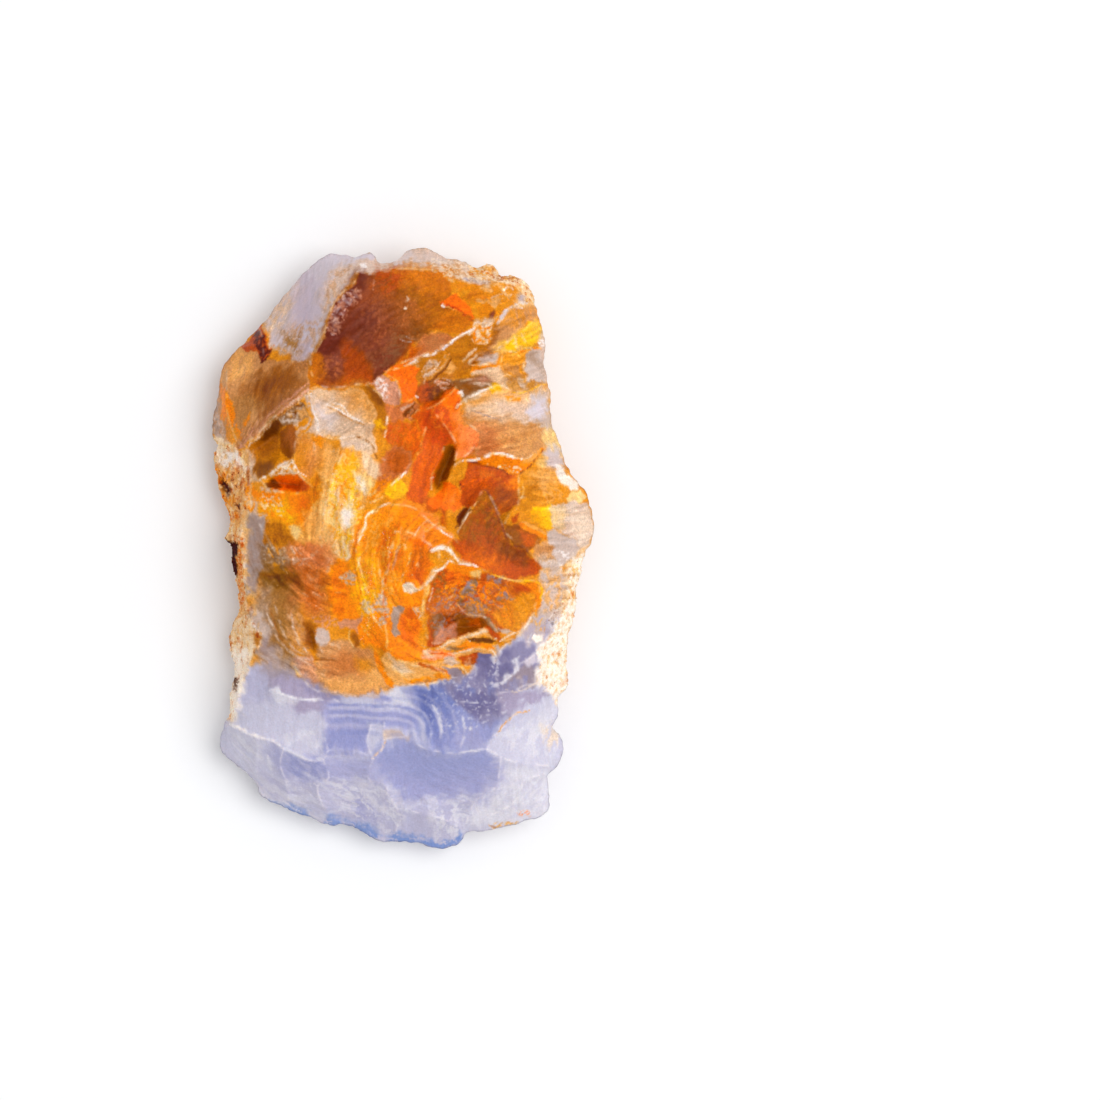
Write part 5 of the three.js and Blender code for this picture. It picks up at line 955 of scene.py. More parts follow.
# Surface of the stone: a dull break that lets a little light in, mostly red
SURFACE = {
    "Specular IOR Level": 0.11, "Subsurface Weight": 0.1, "Subsurface Radius": (1, 0.6, 0.4),
    "Subsurface Scale": 0.5 * MM,
}
LEAST_GRAIN, LARGEST_GRAIN = (0.5, 0.5, 0.35), (1.5, 1.5, 0.9)  # shares of the radius, flatter in height
MOST_GRAINS = 6e7  # grains on a square metre of crust before they are thinned out
KNOB_SCALE = 6000  # how fine the dents of the grains are
LOOK_AT = (0.01338, -0.00005)  # the point of the floor under the middle of the view
SENSOR = 36  # width of the camera's sensor, in millimetres
FLOOR_REACH = 2  # from the middle of the floor to its edges, in metres
KEY_PLACE, KEY_SIZE = (0.42, 0.1, 0.8), 0.75  # place and width of the key light, in metres
PAPER = (0.92, 0.92, 0.925, 1)
ROOM_LIGHT = (0.97, 0.98, 1, 1)
# The setting of a node that says how it works, where that isn't called "operation"
MODE_NAMES = {
    "ShaderNodeMix": "data_type",
    "FunctionNodeRandomValue": "data_type",
    "GeometryNodeDistributePointsOnFaces": "distribute_method",
}


def corners(text):
    """The corners of a line or an outline, in millimetres, from X,Y or X,Y,height in tenths of them."""
    return np.array([[float(number) for number in corner.split(",")] for corner in text.split()]) / TENTHS


def rows(table):
    """Each row of a table: the words before its colon, and the corners after it."""
    for row in table.replace("\n ", " ").splitlines():
        if ":" in row and not row.startswith("#"):
            head, path = row.split(":")
            yield head.split(), corners(path)


def noise(x, y, size, seed):
    """Smooth noise from about -1 to 1 whose lumps are one size across."""
    u, v = np.asarray(x) / size, np.asarray(y) / size
    i, j = np.floor(u).astype(np.int64), np.floor(v).astype(np.int64)
    total = np.zeros_like(u)
    for a in (0, 1):
        for b in (0, 1):
            mixed = ((i + a) * MIX_COLUMNS + (j + b) * MIX_ROWS + seed * MIX_SEEDS) & ALL_BITS
            mixed = ((mixed ^ (mixed >> 13)) * MIX_AGAIN) & ALL_BITS
            angle = (mixed ^ (mixed >> 16)) * (math.tau / (ALL_BITS + 1))
            across, along = u - i - a, v - j - b
            slope = np.cos(angle) * across + np.sin(angle) * along
            total += slope * ease(1 - abs(across)) * ease(1 - abs(along))
    return NOISE_HEIGHT * total


def layered(x, y, layers, seed):
    """Noise in layers, each with a height and a size; their seeds follow one another."""
    return sum(height * noise(x, y, size, seed + place) for place, (height, size) in enumerate(layers))


def ease(share):
    """A share held between 0 and 1 that starts and ends gently."""
    share = np.clip(share, 0, 1)
    return share * share * (3 - 2 * share)


def sampled(points, step, closed=False):
    """Points about one step apart on a smooth curve through given points."""
    if closed:
        points = np.vstack([points[-1:], points, points[:2]])
    else:
        points = np.vstack([2 * points[0] - points[1], points, 2 * points[-1] - points[-2]])
    share = np.linspace(0, 1, CURVE_PARTS + 1)[:-1, None]
    curve = []
    for before, start, end, after in zip(points, points[1:], points[2:], points[3:]):
        spans = [np.linalg.norm(q - p) ** 0.5 for p, q in ((before, start), (start, end), (end, after))]
        chord = (end - start) / spans[1]
        leave = spans[1] * ((start - before) / spans[0] - (end - before) / (spans[0] + spans[1]) + chord)
        arrive = spans[1] * (chord - (after - start) / (spans[1] + spans[2]) + (after - end) / spans[2])
        curve.append((2 * share ** 3 - 3 * share ** 2 + 1) * start
                     + (share ** 3 - 2 * share ** 2 + share) * leave
                     + (3 * share ** 2 - 2 * share ** 3) * end
                     + (share ** 3 - share ** 2) * arrive)
    curve = np.vstack(curve + [points[-2:-1]])
    lengths = np.concatenate([[0], np.cumsum(np.linalg.norm(np.diff(curve, axis=0), axis=1))])
    spaces = max(1, round(lengths[-1] / step))
    stops = np.linspace(0, lengths[-1], spaces + 1)[:spaces if closed else None]
    return np.stack([np.interp(stops, lengths, column) for column in curve.T], axis=1)


def inside(ring, x, y):
    """True for the points that lie within a closed outline."""
    within = np.zeros(np.shape(x), bool)
    for a, b in zip(ring, [*ring[1:], ring[0]]):
        if a[1] != b[1]:
            within ^= ((a[1] > y) != (b[1] > y)) & (x < (b[0] - a[0]) * (y - a[1]) / (b[1] - a[1]) + a[0])
    return within


def beside(line, x, y):
    """Distance of each point from a line, its share of the way along it, and the side that it lies on."""
    nearest, along, side = np.full(np.shape(x), np.inf), np.zeros(np.shape(x)), np.ones(np.shape(x))
    for place, (a, b) in enumerate(zip(line, line[1:])):
        dx, dy = b[0] - a[0], b[1] - a[1]
        share = np.clip(((x - a[0]) * dx + (y - a[1]) * dy) / (dx * dx + dy * dy), 0, 1)
        square = (x - a[0] - share * dx) ** 2 + (y - a[1] - share * dy) ** 2
        closer = square < nearest
        nearest = np.where(closer, square, nearest)
        along = np.where(closer, (place + share) / (len(line) - 1), along)
        side = np.where(closer, np.sign(dx * (y - a[1]) - dy * (x - a[0])), side)
    return np.sqrt(nearest), along, side


def depth(ring, x, y):
    """How far each point lies within a closed outline; below zero outside it."""
    distance = beside([*ring, ring[0]], x, y)[0]
    return np.where(inside(ring, x, y), distance, -distance)


def from_rim(rim, x, y):
    """How far each point lies from the rim, which is read at every fourth of its points."""
    return beside(np.vstack([rim, rim[:1]])[::4], x, y)[0]


def thinned(points, kept, gap):
    """The points that lie at least one gap from one another and from those kept already."""
    cells = {}
    for p in kept:
        cells.setdefault((math.floor(p[0] / gap), math.floor(p[1] / gap)), []).append(p)
    found = []
    for p in points:
        column, row = math.floor(p[0] / gap), math.floor(p[1] / gap)
        close = (q for i in (-1, 0, 1) for j in (-1, 0, 1) for q in cells.get((column + i, row + j), ()))
        if all((p[0] - q[0]) ** 2 + (p[1] - q[1]) ** 2 > gap * gap for q in close):
            cells.setdefault((column, row), []).append(p)
            found.append(p)
    return found


def stretched(points, faces, held, sag):
    """Heights of a skin that hangs between its held points, the first ones, and sags in every span."""
    pairs = np.sort(np.vstack([faces[:, [0, 1]], faces[:, [1, 2]], faces[:, [2, 0]]]), axis=1)
    a, b = np.unique(pairs, axis=0).T
    a, b = np.concatenate([a, b]), np.concatenate([b, a])
    count = len(points)
    degree = np.bincount(a, minlength=count)
    lengths = ((points[a, :2] - points[b, :2]) ** 2).sum(axis=1)
    pull = -sag / 4 * np.bincount(a, lengths, count)
    free = np.arange(count) >= held
    height = points[:, 2].copy()
    height[free] = height[:held].mean()

    def lean(z):
        return np.where(free, degree * z - np.bincount(a, z[b], count), 0)

    # conjugate gradients, each step divided by the number of neighbours
    left = np.where(free, pull, 0) - lean(height)
    scaled = left / degree
    way, power = scaled.copy(), left @ scaled
    for _ in range(MOST_ROUNDS):
        bent = lean(way)
        stride = power / (way @ bent)
        height += stride * way
        left -= stride * bent
        scaled = left / degree
        power, last = left @ scaled, power
        if power < SETTLED:
            break
        way = scaled + power / last * way
    return height


def skin(rim, lines, step, sag):
    """Points and faces of a skin within the rim: the rim first, then the lines, then an even spread."""
    ridges = lines[inside(rim, lines[:, 0], lines[:, 1])]
    held = np.vstack([rim, thinned(ridges, rim, LINE_GAP * step)])
    levels = np.arange(rim[:, 1].min(), rim[:, 1].max(), step * math.sqrt(0.75))
    columns = np.arange(rim[:, 0].min(), rim[:, 0].max(), step)
    x = (columns[None, :] + (np.arange(len(levels)) % 2 * step / 2)[:, None]).ravel()
    y = np.repeat(levels, len(columns))
    spread = np.stack([x, y], axis=1)[inside(rim, x, y)]
    tree = KDTree(len(held))
    for i, p in enumerate(held):
        tree.insert((p[0], p[1], 0), i)
    tree.balance()
    spread = np.array([p for p in spread if tree.find((p[0], p[1], 0))[2] > SPREAD_GAP * step])
    points = np.vstack([held, np.column_stack([spread, np.zeros(len(spread))])])
    edges = [(i, (i + 1) % len(rim)) for i in range(len(rim))]
    _, _, faces, sources, _, _ = delaunay_2d_cdt([Vector(p[:2]) for p in points], edges, [], 1, 1e-7)
    order = np.array([source[0] for source in sources])
    faces = order[np.array(faces)]
    points[:, 2] = stretched(points, faces, len(held), sag)
    return points, faces


def crust_share(x, y):
    """How much of the surface is crust at each point, from 0 to 1, with a ragged edge."""
    ragged = layered(x, y, CRUST_EDGE, SEEDS["crust edge"])
    return np.max([ease((depth(corners(area), x, y) + ragged) / 0.5 + 0.5) for area in CRUST_AREAS], axis=0)


def roughened(points, rim_count):
    """Adds roughness, ripples of the scars and lumps and pits of the crust; gives the share of crust."""
    x, y = points[:, 0].copy(), points[:, 1].copy()
    rise = layered(x, y, ROUGHNESS, SEEDS["roughness"])
    for settings, ring in rows(RIPPLES):
        centre_x, centre_y, wave, height, _ = map(float, settings)
        radius = np.hypot(x - centre_x, y - centre_y)
        spread = radius + 0.25 * wave * noise(x, y, 2 * wave, SEEDS["ripple"])
        steps = np.abs((spread / wave) % 1 - 0.5) * 2
        patchy = 0.6 + 0.5 * noise(x, y, 2.2, SEEDS["ripple strength"])
        rise += height * (steps - 0.5) * patchy * ease(depth(ring, x, y) / 0.8)
    crust = crust_share(x, y)
    pits = -PIT_DEPTH * ease((noise(x, y, PIT_SIZE, SEEDS["pits"]) - 0.55) / 0.2)
    rise += crust * (layered(x, y, LUMPS, SEEDS["lumps"]) + pits)
    points[:, 2] += rise * ease(from_rim(points[:rim_count, :2], x, y) / 0.5)
    return crust


def flow(x, y):
    """Place of each point across and along the arcs of its break, how plain they are, and their heading."""
    across, along = x + 0.1 * y, y - 0.1 * x
    plain, heading = np.full(len(x), PLAIN_LINES), np.full(len(x), -0.1 + 1j)
    for settings, ring in rows(RIPPLES):
        centre_x, centre_y, _, _, strength = map(float, settings)
        within = depth(ring, x, y)
        arm = x - centre_x + 1j * (y - centre_y)
        middle = complex(*(ring.mean(axis=0) - (centre_x, centre_y)))
        across = np.where(within > 0, abs(arm), across)
        along = np.where(within > 0, np.angle(arm / middle) * abs(middle), along)
        plain = np.where(within > 0, PLAIN_LINES + (strength - PLAIN_LINES) * ease(within / 0.7), plain)
        heading = np.where(within > 0, 1j * arm / abs(arm), heading)
    across = across + layered(x, y, LINE_WAVES, SEEDS["fine lines"])
    plain = plain * ease(0.7 + 0.7 * noise(x, y, 2, SEEDS["plain lines"]))
    return np.stack([across, along, plain], axis=1), heading


def raised(x, y, z):
    """The place of each point in the noise: lower ones lie farther out, so steep sides aren't streaked."""
    drop = np.maximum(0, SIDE_TOP - z)
    return x + drop * np.clip(x / SIDE_X, -1, 1), y + drop * np.clip(y / SIDE_Y, -1, 1)


def textured(pattern, x, y, z, seed):
    """Where a marking shows in its own pattern: fading away, in fibres or in flecks, from 0 to 1."""
    if pattern[0] == "fade":
        from_x, from_y, to_x, to_y = map(float, pattern[1:])
        run_x, run_y = to_x - from_x, to_y - from_y
        return 1 - ease(((x - from_x) * run_x + (y - from_y) * run_y) / (run_x * run_x + run_y * run_y))
    *turned, size, share = map(float, pattern)
    x, y = raised(x, y, z)
    coarse, fine = SEEDS["pattern"] + seed, SEEDS["fine fibres"] + seed
    if turned:
        turn = math.radians(turned[0])
        along, across = x * math.cos(turn) + y * math.sin(turn), y * math.cos(turn) - x * math.sin(turn)
        strength = noise(along / FIBRE_LENGTH, across, size, coarse) + 0.4 * noise(x, y, size, fine)
    else:
        strength = size ** 0.2 * sum(part * noise(x, y, max(size * part, LEAST_FLECK), coarse)
                                     for part in (1, 0.5, 0.25))
    level = np.quantile(strength, 1 - share) if len(strength) else 0
    return ease((strength - level) / 0.7 + 0.5)


def painted(x, y, z, colours):
    """Colours of the stone and its share of painted glints: markings, lace bands, fine lines, pale broken
    edges.
    """
    shades = {name: np.array(getattr(colours, name)) for name in PALETTE}
    over, up = raised(x, y, z)
    drift = [sum(share * noise(over, up, size, SEEDS[seed]) for share, size in DRIFT)
             for seed in ("drift across", "drift along")]
    lines, heading = flow(x, y)
    streaks = sum(share * noise(lines[:, 0] / width, lines[:, 1] / length, 1, SEEDS["streaks"])
                  for share, width, length in STREAK_LAYERS)
    colour = np.ones((len(x), 3))

    def lay(name, mask, near):
        colour[near] += mask[:, None] * (shades[name] - colour[near])

    def close_to(outline, reach):
        low, high = outline.min(axis=0) - reach, outline.max(axis=0) + reach
        return np.nonzero((x > low[0]) & (x < high[0]) & (y > low[1]) & (y < high[1]))[0]

    def drifted(near, amount):
        return x[near] + amount * drift[0][near], y[near] + amount * drift[1][near]

    # markings, with edges that wander and run out along the fine lines
    for number, ((name, soft, strength, *pattern), outline) in enumerate(rows(REGIONS)):
        soft = float(soft)
        near = close_to(outline, 0.8 + (1 + soft) * soft)
        fray = FRAY * min(0.05 + 1.2 * soft, 1) * streaks[near] * heading[near]
        u, v = drifted(near, min(0.1 + 0.4 * soft, MOST_DRIFT))
        u, v = u + fray.real, v + fray.imag
        blend = max((1.2 + 1.2 * soft) * soft, SHARPEST)
        mask = float(strength) * ease(depth(outline, u, v) / blend + 0.5)
        if pattern:
            mask *= textured(pattern, u, v, z[near], number)
        lay(name, mask, near)

    # painted glints of crystal: pale flecks of light in the glint areas and beside pale lines
    sparks = np.zeros(len(x))
    for settings, outline in rows(GLINT_AREAS):
        strength, soft = map(float, settings)
        near = close_to(outline, soft + 0.5)
        share = strength * ease(depth(outline, x[near], y[near]) / soft + 0.5)
        sparks[near] = np.maximum(sparks[near], share)

    # lace bands
    away, _, side = beside(sampled(corners(LACE_PATH), 0.3), x, y)
    across = away * side + layered(x, y, LACE_WAVES, SEEDS["lace"])
    within = ease(depth(corners(LACE_AREA), x, y) / 0.8)
    everywhere = np.arange(len(x))
    for name, offset, width, strength in LACE_BANDS:
        broken = 0.75 + 0.4 * noise(x + offset * 7, y, 1.3, SEEDS["broken lace"])
        band = ease((width / 2 - abs(across - offset)) / 0.15 + 0.5)
        lay(name, np.clip(strength * within * broken * band, 0, 1), everywhere)

    # fine lines, which taper at both ends
    for number, ((name, *settings), line) in enumerate(rows(STROKES)):
        width, soft, strength = map(float, settings)
        near = close_to(line, 0.5 + width + soft)
        u, v = drifted(near, 0.08)
        away, along, _ = beside(sampled(line, LINE_STEP), u, v)
        taper = 0.35 + 0.65 * np.sqrt(np.clip(4 * along * (1 - along), 0, 1))
        broken = ease(0.75 + 0.8 * noise(u, v, 0.8, SEEDS["broken line"] + number)
                      + 0.5 * noise(u, v, 0.35, SEEDS["finely broken line"] + number))
        lay(name, strength * broken * ease((width / 2 * taper - away) / max(soft, 0.08) + 0.5), near)
        if name in GLINTING_LINE_COLOURS:
            sparks[near] = np.maximum(sparks[near], LINE_GLINTS * ease(1 - away / 0.45))

    # sharp ridges are paler: partly chipped pale edges, partly painted highlights
    for number, ((name,), ridge) in enumerate(rows(RIDGES)):
        if not name.endswith(BLUNT):
            near = close_to(ridge[:, :2], 0.4)
            u, v = drifted(near, 0.04)
            broken = ease(0.5 + 1.4 * noise(u, v, 0.8, SEEDS["broken ridge"] + number))
            edge = ease((0.09 - beside(sampled(ridge, LINE_STEP), u, v)[0]) / 0.12 + 0.5)
            colour[near] += (EDGE_CHIPS_AND_HIGHLIGHT * broken * edge)[:, None] * (1 - colour[near]) * EDGE_CHIPS_AND_HIGHLIGHT_TINT

    # painted glints drawn out into pale streaks along the fine lines, mottling, and tiny crystal faces
    # painted brighter as glitter
    warmth = ease((colour[:, 0] - colour[:, 2]) / 0.3)[:, None]
    veins = noise(lines[:, 0] / 0.35, lines[:, 1] / 1.7, 1, SEEDS["veins"])
    veins += 0.4 * noise(x, y, 0.3, SEEDS["fine glint streaks"])
    sparks *= ease(0.6 + noise(x, y, 1.8, SEEDS["sparks"]))
    colour += (GLINT_STREAKS * sparks * ease((veins - 0.35) / 0.5))[:, None] * (shades["pale_cream"] - colour)
    mottle = layered(over, up, MOTTLE, SEEDS["mottle"]) + STREAKS * lines[:, 2] * streaks
    colour *= 1 + mottle[:, None] * (0.015 + 0.06 * warmth) * MOTTLE_TINT
    # painted glitter on tiny crystal faces
    glitter = ease((layered(over, up, GLITTER_LAYERS, SEEDS["glitter"]) - 0.42) / 0.25)
    glitter *= ease(0.5 + noise(x, y, 2.6, SEEDS["glitter patches"]))
    colour *= 1 + GLITTER * (0.25 + 0.75 * warmth) * (glitter[:, None] - 0.25)
    return np.clip(colour, 0, 1), sparks


def linear(colour):
    """Colour values as Blender's shaders take them, less the pale sheen that the room lays over them."""
    return np.maximum((((colour + 0.055) / 1.055) ** 2.4 - np.array(SHEEN)) / np.array(GAIN), 0.001)


def wavy_rim(step):
    """The widest line of the stone, with its fine notches."""
    rim = sampled(corners(OUTLINE), step, closed=True)
    for axis in (0, 1):
        rim[:, axis] += (0.12 * noise(rim[:, 0], rim[:, 1], 0.9, SEEDS["rim"] + axis)
                         + 0.06 * noise(rim[:, 1], rim[:, 0], 0.4, SEEDS["fine rim"]))
    return rim


def under_skin(rim, step):
    """Points and faces of the lower face: the resting face, the break around it and its low bumps."""
    resting = corners(RESTING_FACE)
    foot = np.column_stack([resting, np.zeros(len(resting))])
    under_break = corners(UNDER_BREAK)
    spokes = [sampled(np.array([p, q]), step) for p, q in zip(foot, under_break)]
    sides = [sampled(np.array([p, q]), step) for p, q in zip(foot, np.roll(foot, -1, axis=0))]
    patch = [(x, y, 0) for x in np.arange(-17, 17, 2 * step) for y in np.arange(-27, 27, 2 * step)]
    patch = [p for p in patch if inside(resting, p[0], p[1])]
    lines = np.vstack([*sides, sampled(under_break, step, closed=True), *spokes, patch])
    under, faces = skin(rim, lines, step, -UNDER_SAG)
    x, y = under[:, 0], under[:, 1]
    off_foot = ease(-depth(resting, x, y) / 1.2) * ease(from_rim(rim, x, y) / 0.8)
    height = under[:, 2] + layered(x, y, UNDER_BUMPS, SEEDS["under bumps"]) * off_foot
    under[:, 2] = np.where(inside(resting, x, y), 0, np.maximum(height, 0))
    return under, faces


def under_colour(under, rim, colours):
    """Colours of the lower face: the markings of the rim, which run out into plain pale stone."""
    x, y, z = under.T
    below, _ = painted(x, y, SIDE_TOP - z, colours)
    blue_side = ease((-y - 9 + 3 * noise(x, y, 7, SEEDS["blue side"])) / 4)[:, None]
    plain = np.array(colours.shell_grey) * blue_side + np.array(colours.pearl_tan) * (1 - blue_side)
    plain = plain * (1 + layered(x, y, UNDER_SHADE, SEEDS["under shade"]))[:, None]
    share = ease(from_rim(rim, x, y) / 3.5)[:, None]
    return below * (1 - share) + plain * share


def stone_mesh(sizes, colours):
    """The closed skin of the stone, painted and roughened, in metres."""
    step = sizes.top_spacing / MM
    rim = wavy_rim(step)
    lines = np.vstack([sampled(ridge, step) for _, ridge in rows(RIDGES)])
    upper, upper_faces = skin(rim, lines, step, TOP_SAG)
    crust = roughened(upper, len(rim))
    under, under_faces = under_skin(rim, sizes.under_spacing / MM)
    colour, sparks = painted(*upper.T, colours)
    below = under_colour(under, rim, colours)

    # both faces share the rim
    count = len(rim)
    points = np.vstack([upper, under[count:]])
    colour = linear(np.clip(np.vstack([colour, below[count:]]), 0, 1))
    crust = np.concatenate([crust, crust_share(under[count:, 0], under[count:, 1])])
    sparks = np.concatenate([sparks, np.zeros(len(under) - count)])
    under_faces = np.where(under_faces < count, under_faces, under_faces + len(upper) - count)
    faces = np.vstack([upper_faces, under_faces[:, ::-1]])
    fine_lines, _ = flow(points[:, 0], points[:, 1])

    # from the sizes above to the place and size of the CAD stone
    low, high = rim[:, :2].min(axis=0), rim[:, :2].max(axis=0)
    extent = np.array(CAD_HIGH) - np.array(CAD_LOW)
    points[:, :2] = (points[:, :2] - (low + high) / 2) * extent[:2] / (high - low)
    points[:, :2] += (np.array(CAD_HIGH) + np.array(CAD_LOW))[:2] / 2
    points[:, 2] *= extent[2] / TALLEST

    mesh = bpy.data.meshes.new("stone_skin")
    mesh.from_pydata(points.tolist(), [], faces.tolist())
    mesh.polygons.foreach_set("use_smooth", [True] * len(mesh.polygons))
    colour = np.column_stack([colour, np.ones(len(colour))])
    for name, kind, part, values in (("stone_colour", "FLOAT_COLOR", "color", colour),
                                     ("crust", "FLOAT", "value", crust),
                                     ("sparks", "FLOAT", "value", sparks),
                                     ("fine_lines", "FLOAT_VECTOR", "vector", fine_lines)):
        mesh.attributes.new(name, kind, "POINT").data.foreach_set(part, values.ravel())
    mesh.update()
    return mesh


def added(tree, kind, mode=None, **inputs):
    """The outputs of a new node, whose inputs, by name or number, take values or other nodes' outputs."""
    made = tree.nodes.new(kind)
    if mode:
        setattr(made, MODE_NAMES.get(kind, "operation"), mode)
    for place, value in inputs.items():
        socket = made.inputs[int(place[1:]) if place[0] == "_" else place.replace("_", " ")]
        if isinstance(value, bpy.types.NodeSocket):
            tree.links.new(value, socket)
        else:
            socket.default_value = value
    return made.outputs


def fine_grain():
    """The node group that adds fine lines, specks, stains and painted glints to a colour and lifts the
    surface.
    """
    tree = bpy.data.node_groups.new("fine_grain", "ShaderNodeTree")
    face = tree.interface
    face.new_socket(name="Colour", in_out="INPUT", socket_type="NodeSocketColor")
    face.new_socket(name="Lines", in_out="INPUT", socket_type="NodeSocketVector")
    for name, value in (("Sparks", 0), ("Crust", 0), ("Speck Size", 0.25 * MM), ("Speck Contrast", 0.15),
                        ("Line Contrast", 0.3), ("Height", 0.03 * MM)):
        face.new_socket(name=name, in_out="INPUT", socket_type="NodeSocketFloat").default_value = value
    for name, kind in (("Colour", "Color"), ("Normal", "Vector")):
        face.new_socket(name=name, in_out="OUTPUT", socket_type="NodeSocket" + kind)
    given = tree.nodes.new("NodeGroupInput").outputs
    result = tree.nodes.new("NodeGroupOutput").inputs
    place = tree.nodes.new("ShaderNodeTexCoord").outputs["Object"]

    def maths(mode, first, second=0, third=0):
        return added(tree, "ShaderNodeMath", mode, _0=first, _1=second, _2=third)[0]

    def texture(where, scale, detail):
        made = added(tree, "ShaderNodeTexNoise", Vector=where, Scale=scale, Detail=detail, Roughness=0.62)
        return maths("MULTIPLY_ADD", made["Fac"], 4, -2)  # from -2 to 2 instead of 0 to 1

    specks = texture(place, maths("DIVIDE", 1, given["Speck Size"]), 4)
    split = added(tree, "ShaderNodeSeparateXYZ", _0=given["Lines"])
    spread = added(tree, "ShaderNodeCombineXYZ", _0=maths("MULTIPLY", split[0], LINES_ACROSS),
                   _1=maths("MULTIPLY", split[1], LINES_ALONG))
    lines = maths("MULTIPLY", texture(spread[0], 1, 3), split[2])
    parts = added(tree, "ShaderNodeSeparateColor", _0=given["Colour"])
    redness = maths("MULTIPLY", maths("SUBTRACT", parts[0], parts[2]), 3)
    warmth = added(tree, "ShaderNodeClamp", _0=redness, _1=0.3, _2=1)
    change = maths("MULTIPLY_ADD", specks, maths("MULTIPLY", given["Speck Contrast"], warmth[0]), 1)
    change = maths("MULTIPLY_ADD", lines, given["Line Contrast"], change)
    shade = added(tree, "ShaderNodeVectorMath", "SCALE", _0=given["Colour"], _3=change)[0]
    open_crust = maths("MULTIPLY", given["Crust"], maths("SUBTRACT", 1.25, parts[2]))
    for size, sharpness, start, let_through in STAINS:
        spots = maths("MULTIPLY_ADD", texture(place, 1 / size, 4), sharpness, start)
        patch = added(tree, "ShaderNodeClamp", _0=spots)
        stained = added(tree, "ShaderNodeVectorMath", "MULTIPLY", _0=shade, _1=let_through)[0]
        share = maths("MULTIPLY", patch[0], open_crust)
        shade = added(tree, "ShaderNodeMix", "RGBA", _0=share, _6=shade, _7=stained)[2]
    # painted glints: pale flecks of light where the glint share is high
    needed = maths("MULTIPLY_ADD", given["Sparks"], -2, 1.9)
    glint = maths("MULTIPLY", maths("SUBTRACT", texture(place, 1 / GLINT_SIZE, 2), needed), 1.2)
    pale = added(tree, "ShaderNodeClamp", _0=glint, _1=0, _2=0.5)[0]
    mixed = added(tree, "ShaderNodeMix", "RGBA", _0=pale, _6=shade, _7=GLINT_COLOUR)
    rise = maths("ADD", specks, lines)
    lift = added(tree, "ShaderNodeBump", Strength=1, Distance=given["Height"], Height=rise)
    tree.links.new(mixed[2], result["Colour"])
    tree.links.new(lift["Normal"], result["Normal"])
    return tree


def mineral(name, grain, roughness, crust_roughness, **fineness):
    """A material that takes its colour from the painted surface and its fine detail from the shared group."""
    material = bpy.data.materials.new(name)
    material.use_nodes = True
    tree = material.node_tree
    surface = tree.nodes["Principled BSDF"]
    group = tree.nodes.new("ShaderNodeGroup")
    group.node_tree = grain

    def painted_on(attribute):
        read = tree.nodes.new("ShaderNodeAttribute")
        read.attribute_name = attribute
        return read.outputs

    crust = painted_on("crust")["Fac"]
    dull = added(tree, "ShaderNodeMapRange", Value=crust, To_Min=roughness, To_Max=crust_roughness)[0]
    for output, socket in ((painted_on("stone_colour")["Color"], group.inputs["Colour"]),
                           (painted_on("fine_lines")["Vector"], group.inputs["Lines"]),
                           (painted_on("sparks")["Fac"], group.inputs["Sparks"]),
                           (crust, group.inputs["Crust"]),
                           (group.outputs["Colour"], surface.inputs["Base Color"]),
                           (group.outputs["Normal"], surface.inputs["Normal"]),
                           (dull, surface.inputs["Roughness"])):
        tree.links.new(output, socket)
    for name, value in fineness.items():
        group.inputs[name.replace("_", " ").title()].default_value = value
    for name, value in SURFACE.items():
        surface.inputs[name].default_value = value
    return material


def shared_grain():
    """The one copy of the fine grain group."""
    return bpy.data.node_groups.get("fine_grain") or fine_grain()


def grain_tree(material):
    """Geometry nodes that scatter loose grains over the crust and turn them into one mesh."""
    tree = bpy.data.node_groups.new("scatter_crust_grains", "GeometryNodeTree")
    face = tree.interface
    face.new_socket(name="Geometry", in_out="INPUT", socket_type="NodeSocketGeometry")
    for name in ("Spacing", "Radius"):
        face.new_socket(name=name, in_out="INPUT", socket_type="NodeSocketFloat")
    face.new_socket(name="Seed", in_out="INPUT", socket_type="NodeSocketInt")
    face.new_socket(name="Geometry", in_out="OUTPUT", socket_type="NodeSocketGeometry")
    given = tree.nodes.new("NodeGroupInput").outputs
    crust = added(tree, "GeometryNodeInputNamedAttribute", Name="crust")["Attribute"]
    spots = added(tree, "GeometryNodeDistributePointsOnFaces", "POISSON", Mesh=given["Geometry"],
                  Distance_Min=given["Spacing"], Density_Max=MOST_GRAINS, Density_Factor=crust,
                  Seed=given["Seed"])
    ball = added(tree, "GeometryNodeMeshIcoSphere", Radius=given["Radius"], Subdivisions=2)
    knobs = added(tree, "ShaderNodeTexNoise", Scale=KNOB_SCALE, Detail=1)["Color"]
    centred = added(tree, "ShaderNodeVectorMath", "SUBTRACT", _0=knobs, _1=(0.5, 0.5, 0.5))
    small = added(tree, "ShaderNodeVectorMath", "SCALE", _0=centred[0], _3=given["Radius"])
    dent = added(tree, "GeometryNodeSetPosition", Geometry=ball["Mesh"], Offset=small[0])
    size = added(tree, "FunctionNodeRandomValue", "FLOAT_VECTOR", _0=LEAST_GRAIN, _1=LARGEST_GRAIN,
                 Seed=given["Seed"])
    put = added(tree, "GeometryNodeInstanceOnPoints", Points=spots["Points"], Rotation=spots["Rotation"],
                Instance=dent[0], Scale=size[0])
    spin = added(tree, "FunctionNodeRandomValue", "FLOAT", _2=0, _3=math.tau)
    round_axis = added(tree, "ShaderNodeCombineXYZ", Z=spin[1])
    turn = added(tree, "GeometryNodeRotateInstances", Instances=put[0], Rotation=round_axis[0])
    real = added(tree, "GeometryNodeRealizeInstances", Geometry=turn[0])
    finish = added(tree, "GeometryNodeSetMaterial", Geometry=real[0], Material=material)
    tree.links.new(finish[0], tree.nodes.new("NodeGroupOutput").inputs[0])
    return tree


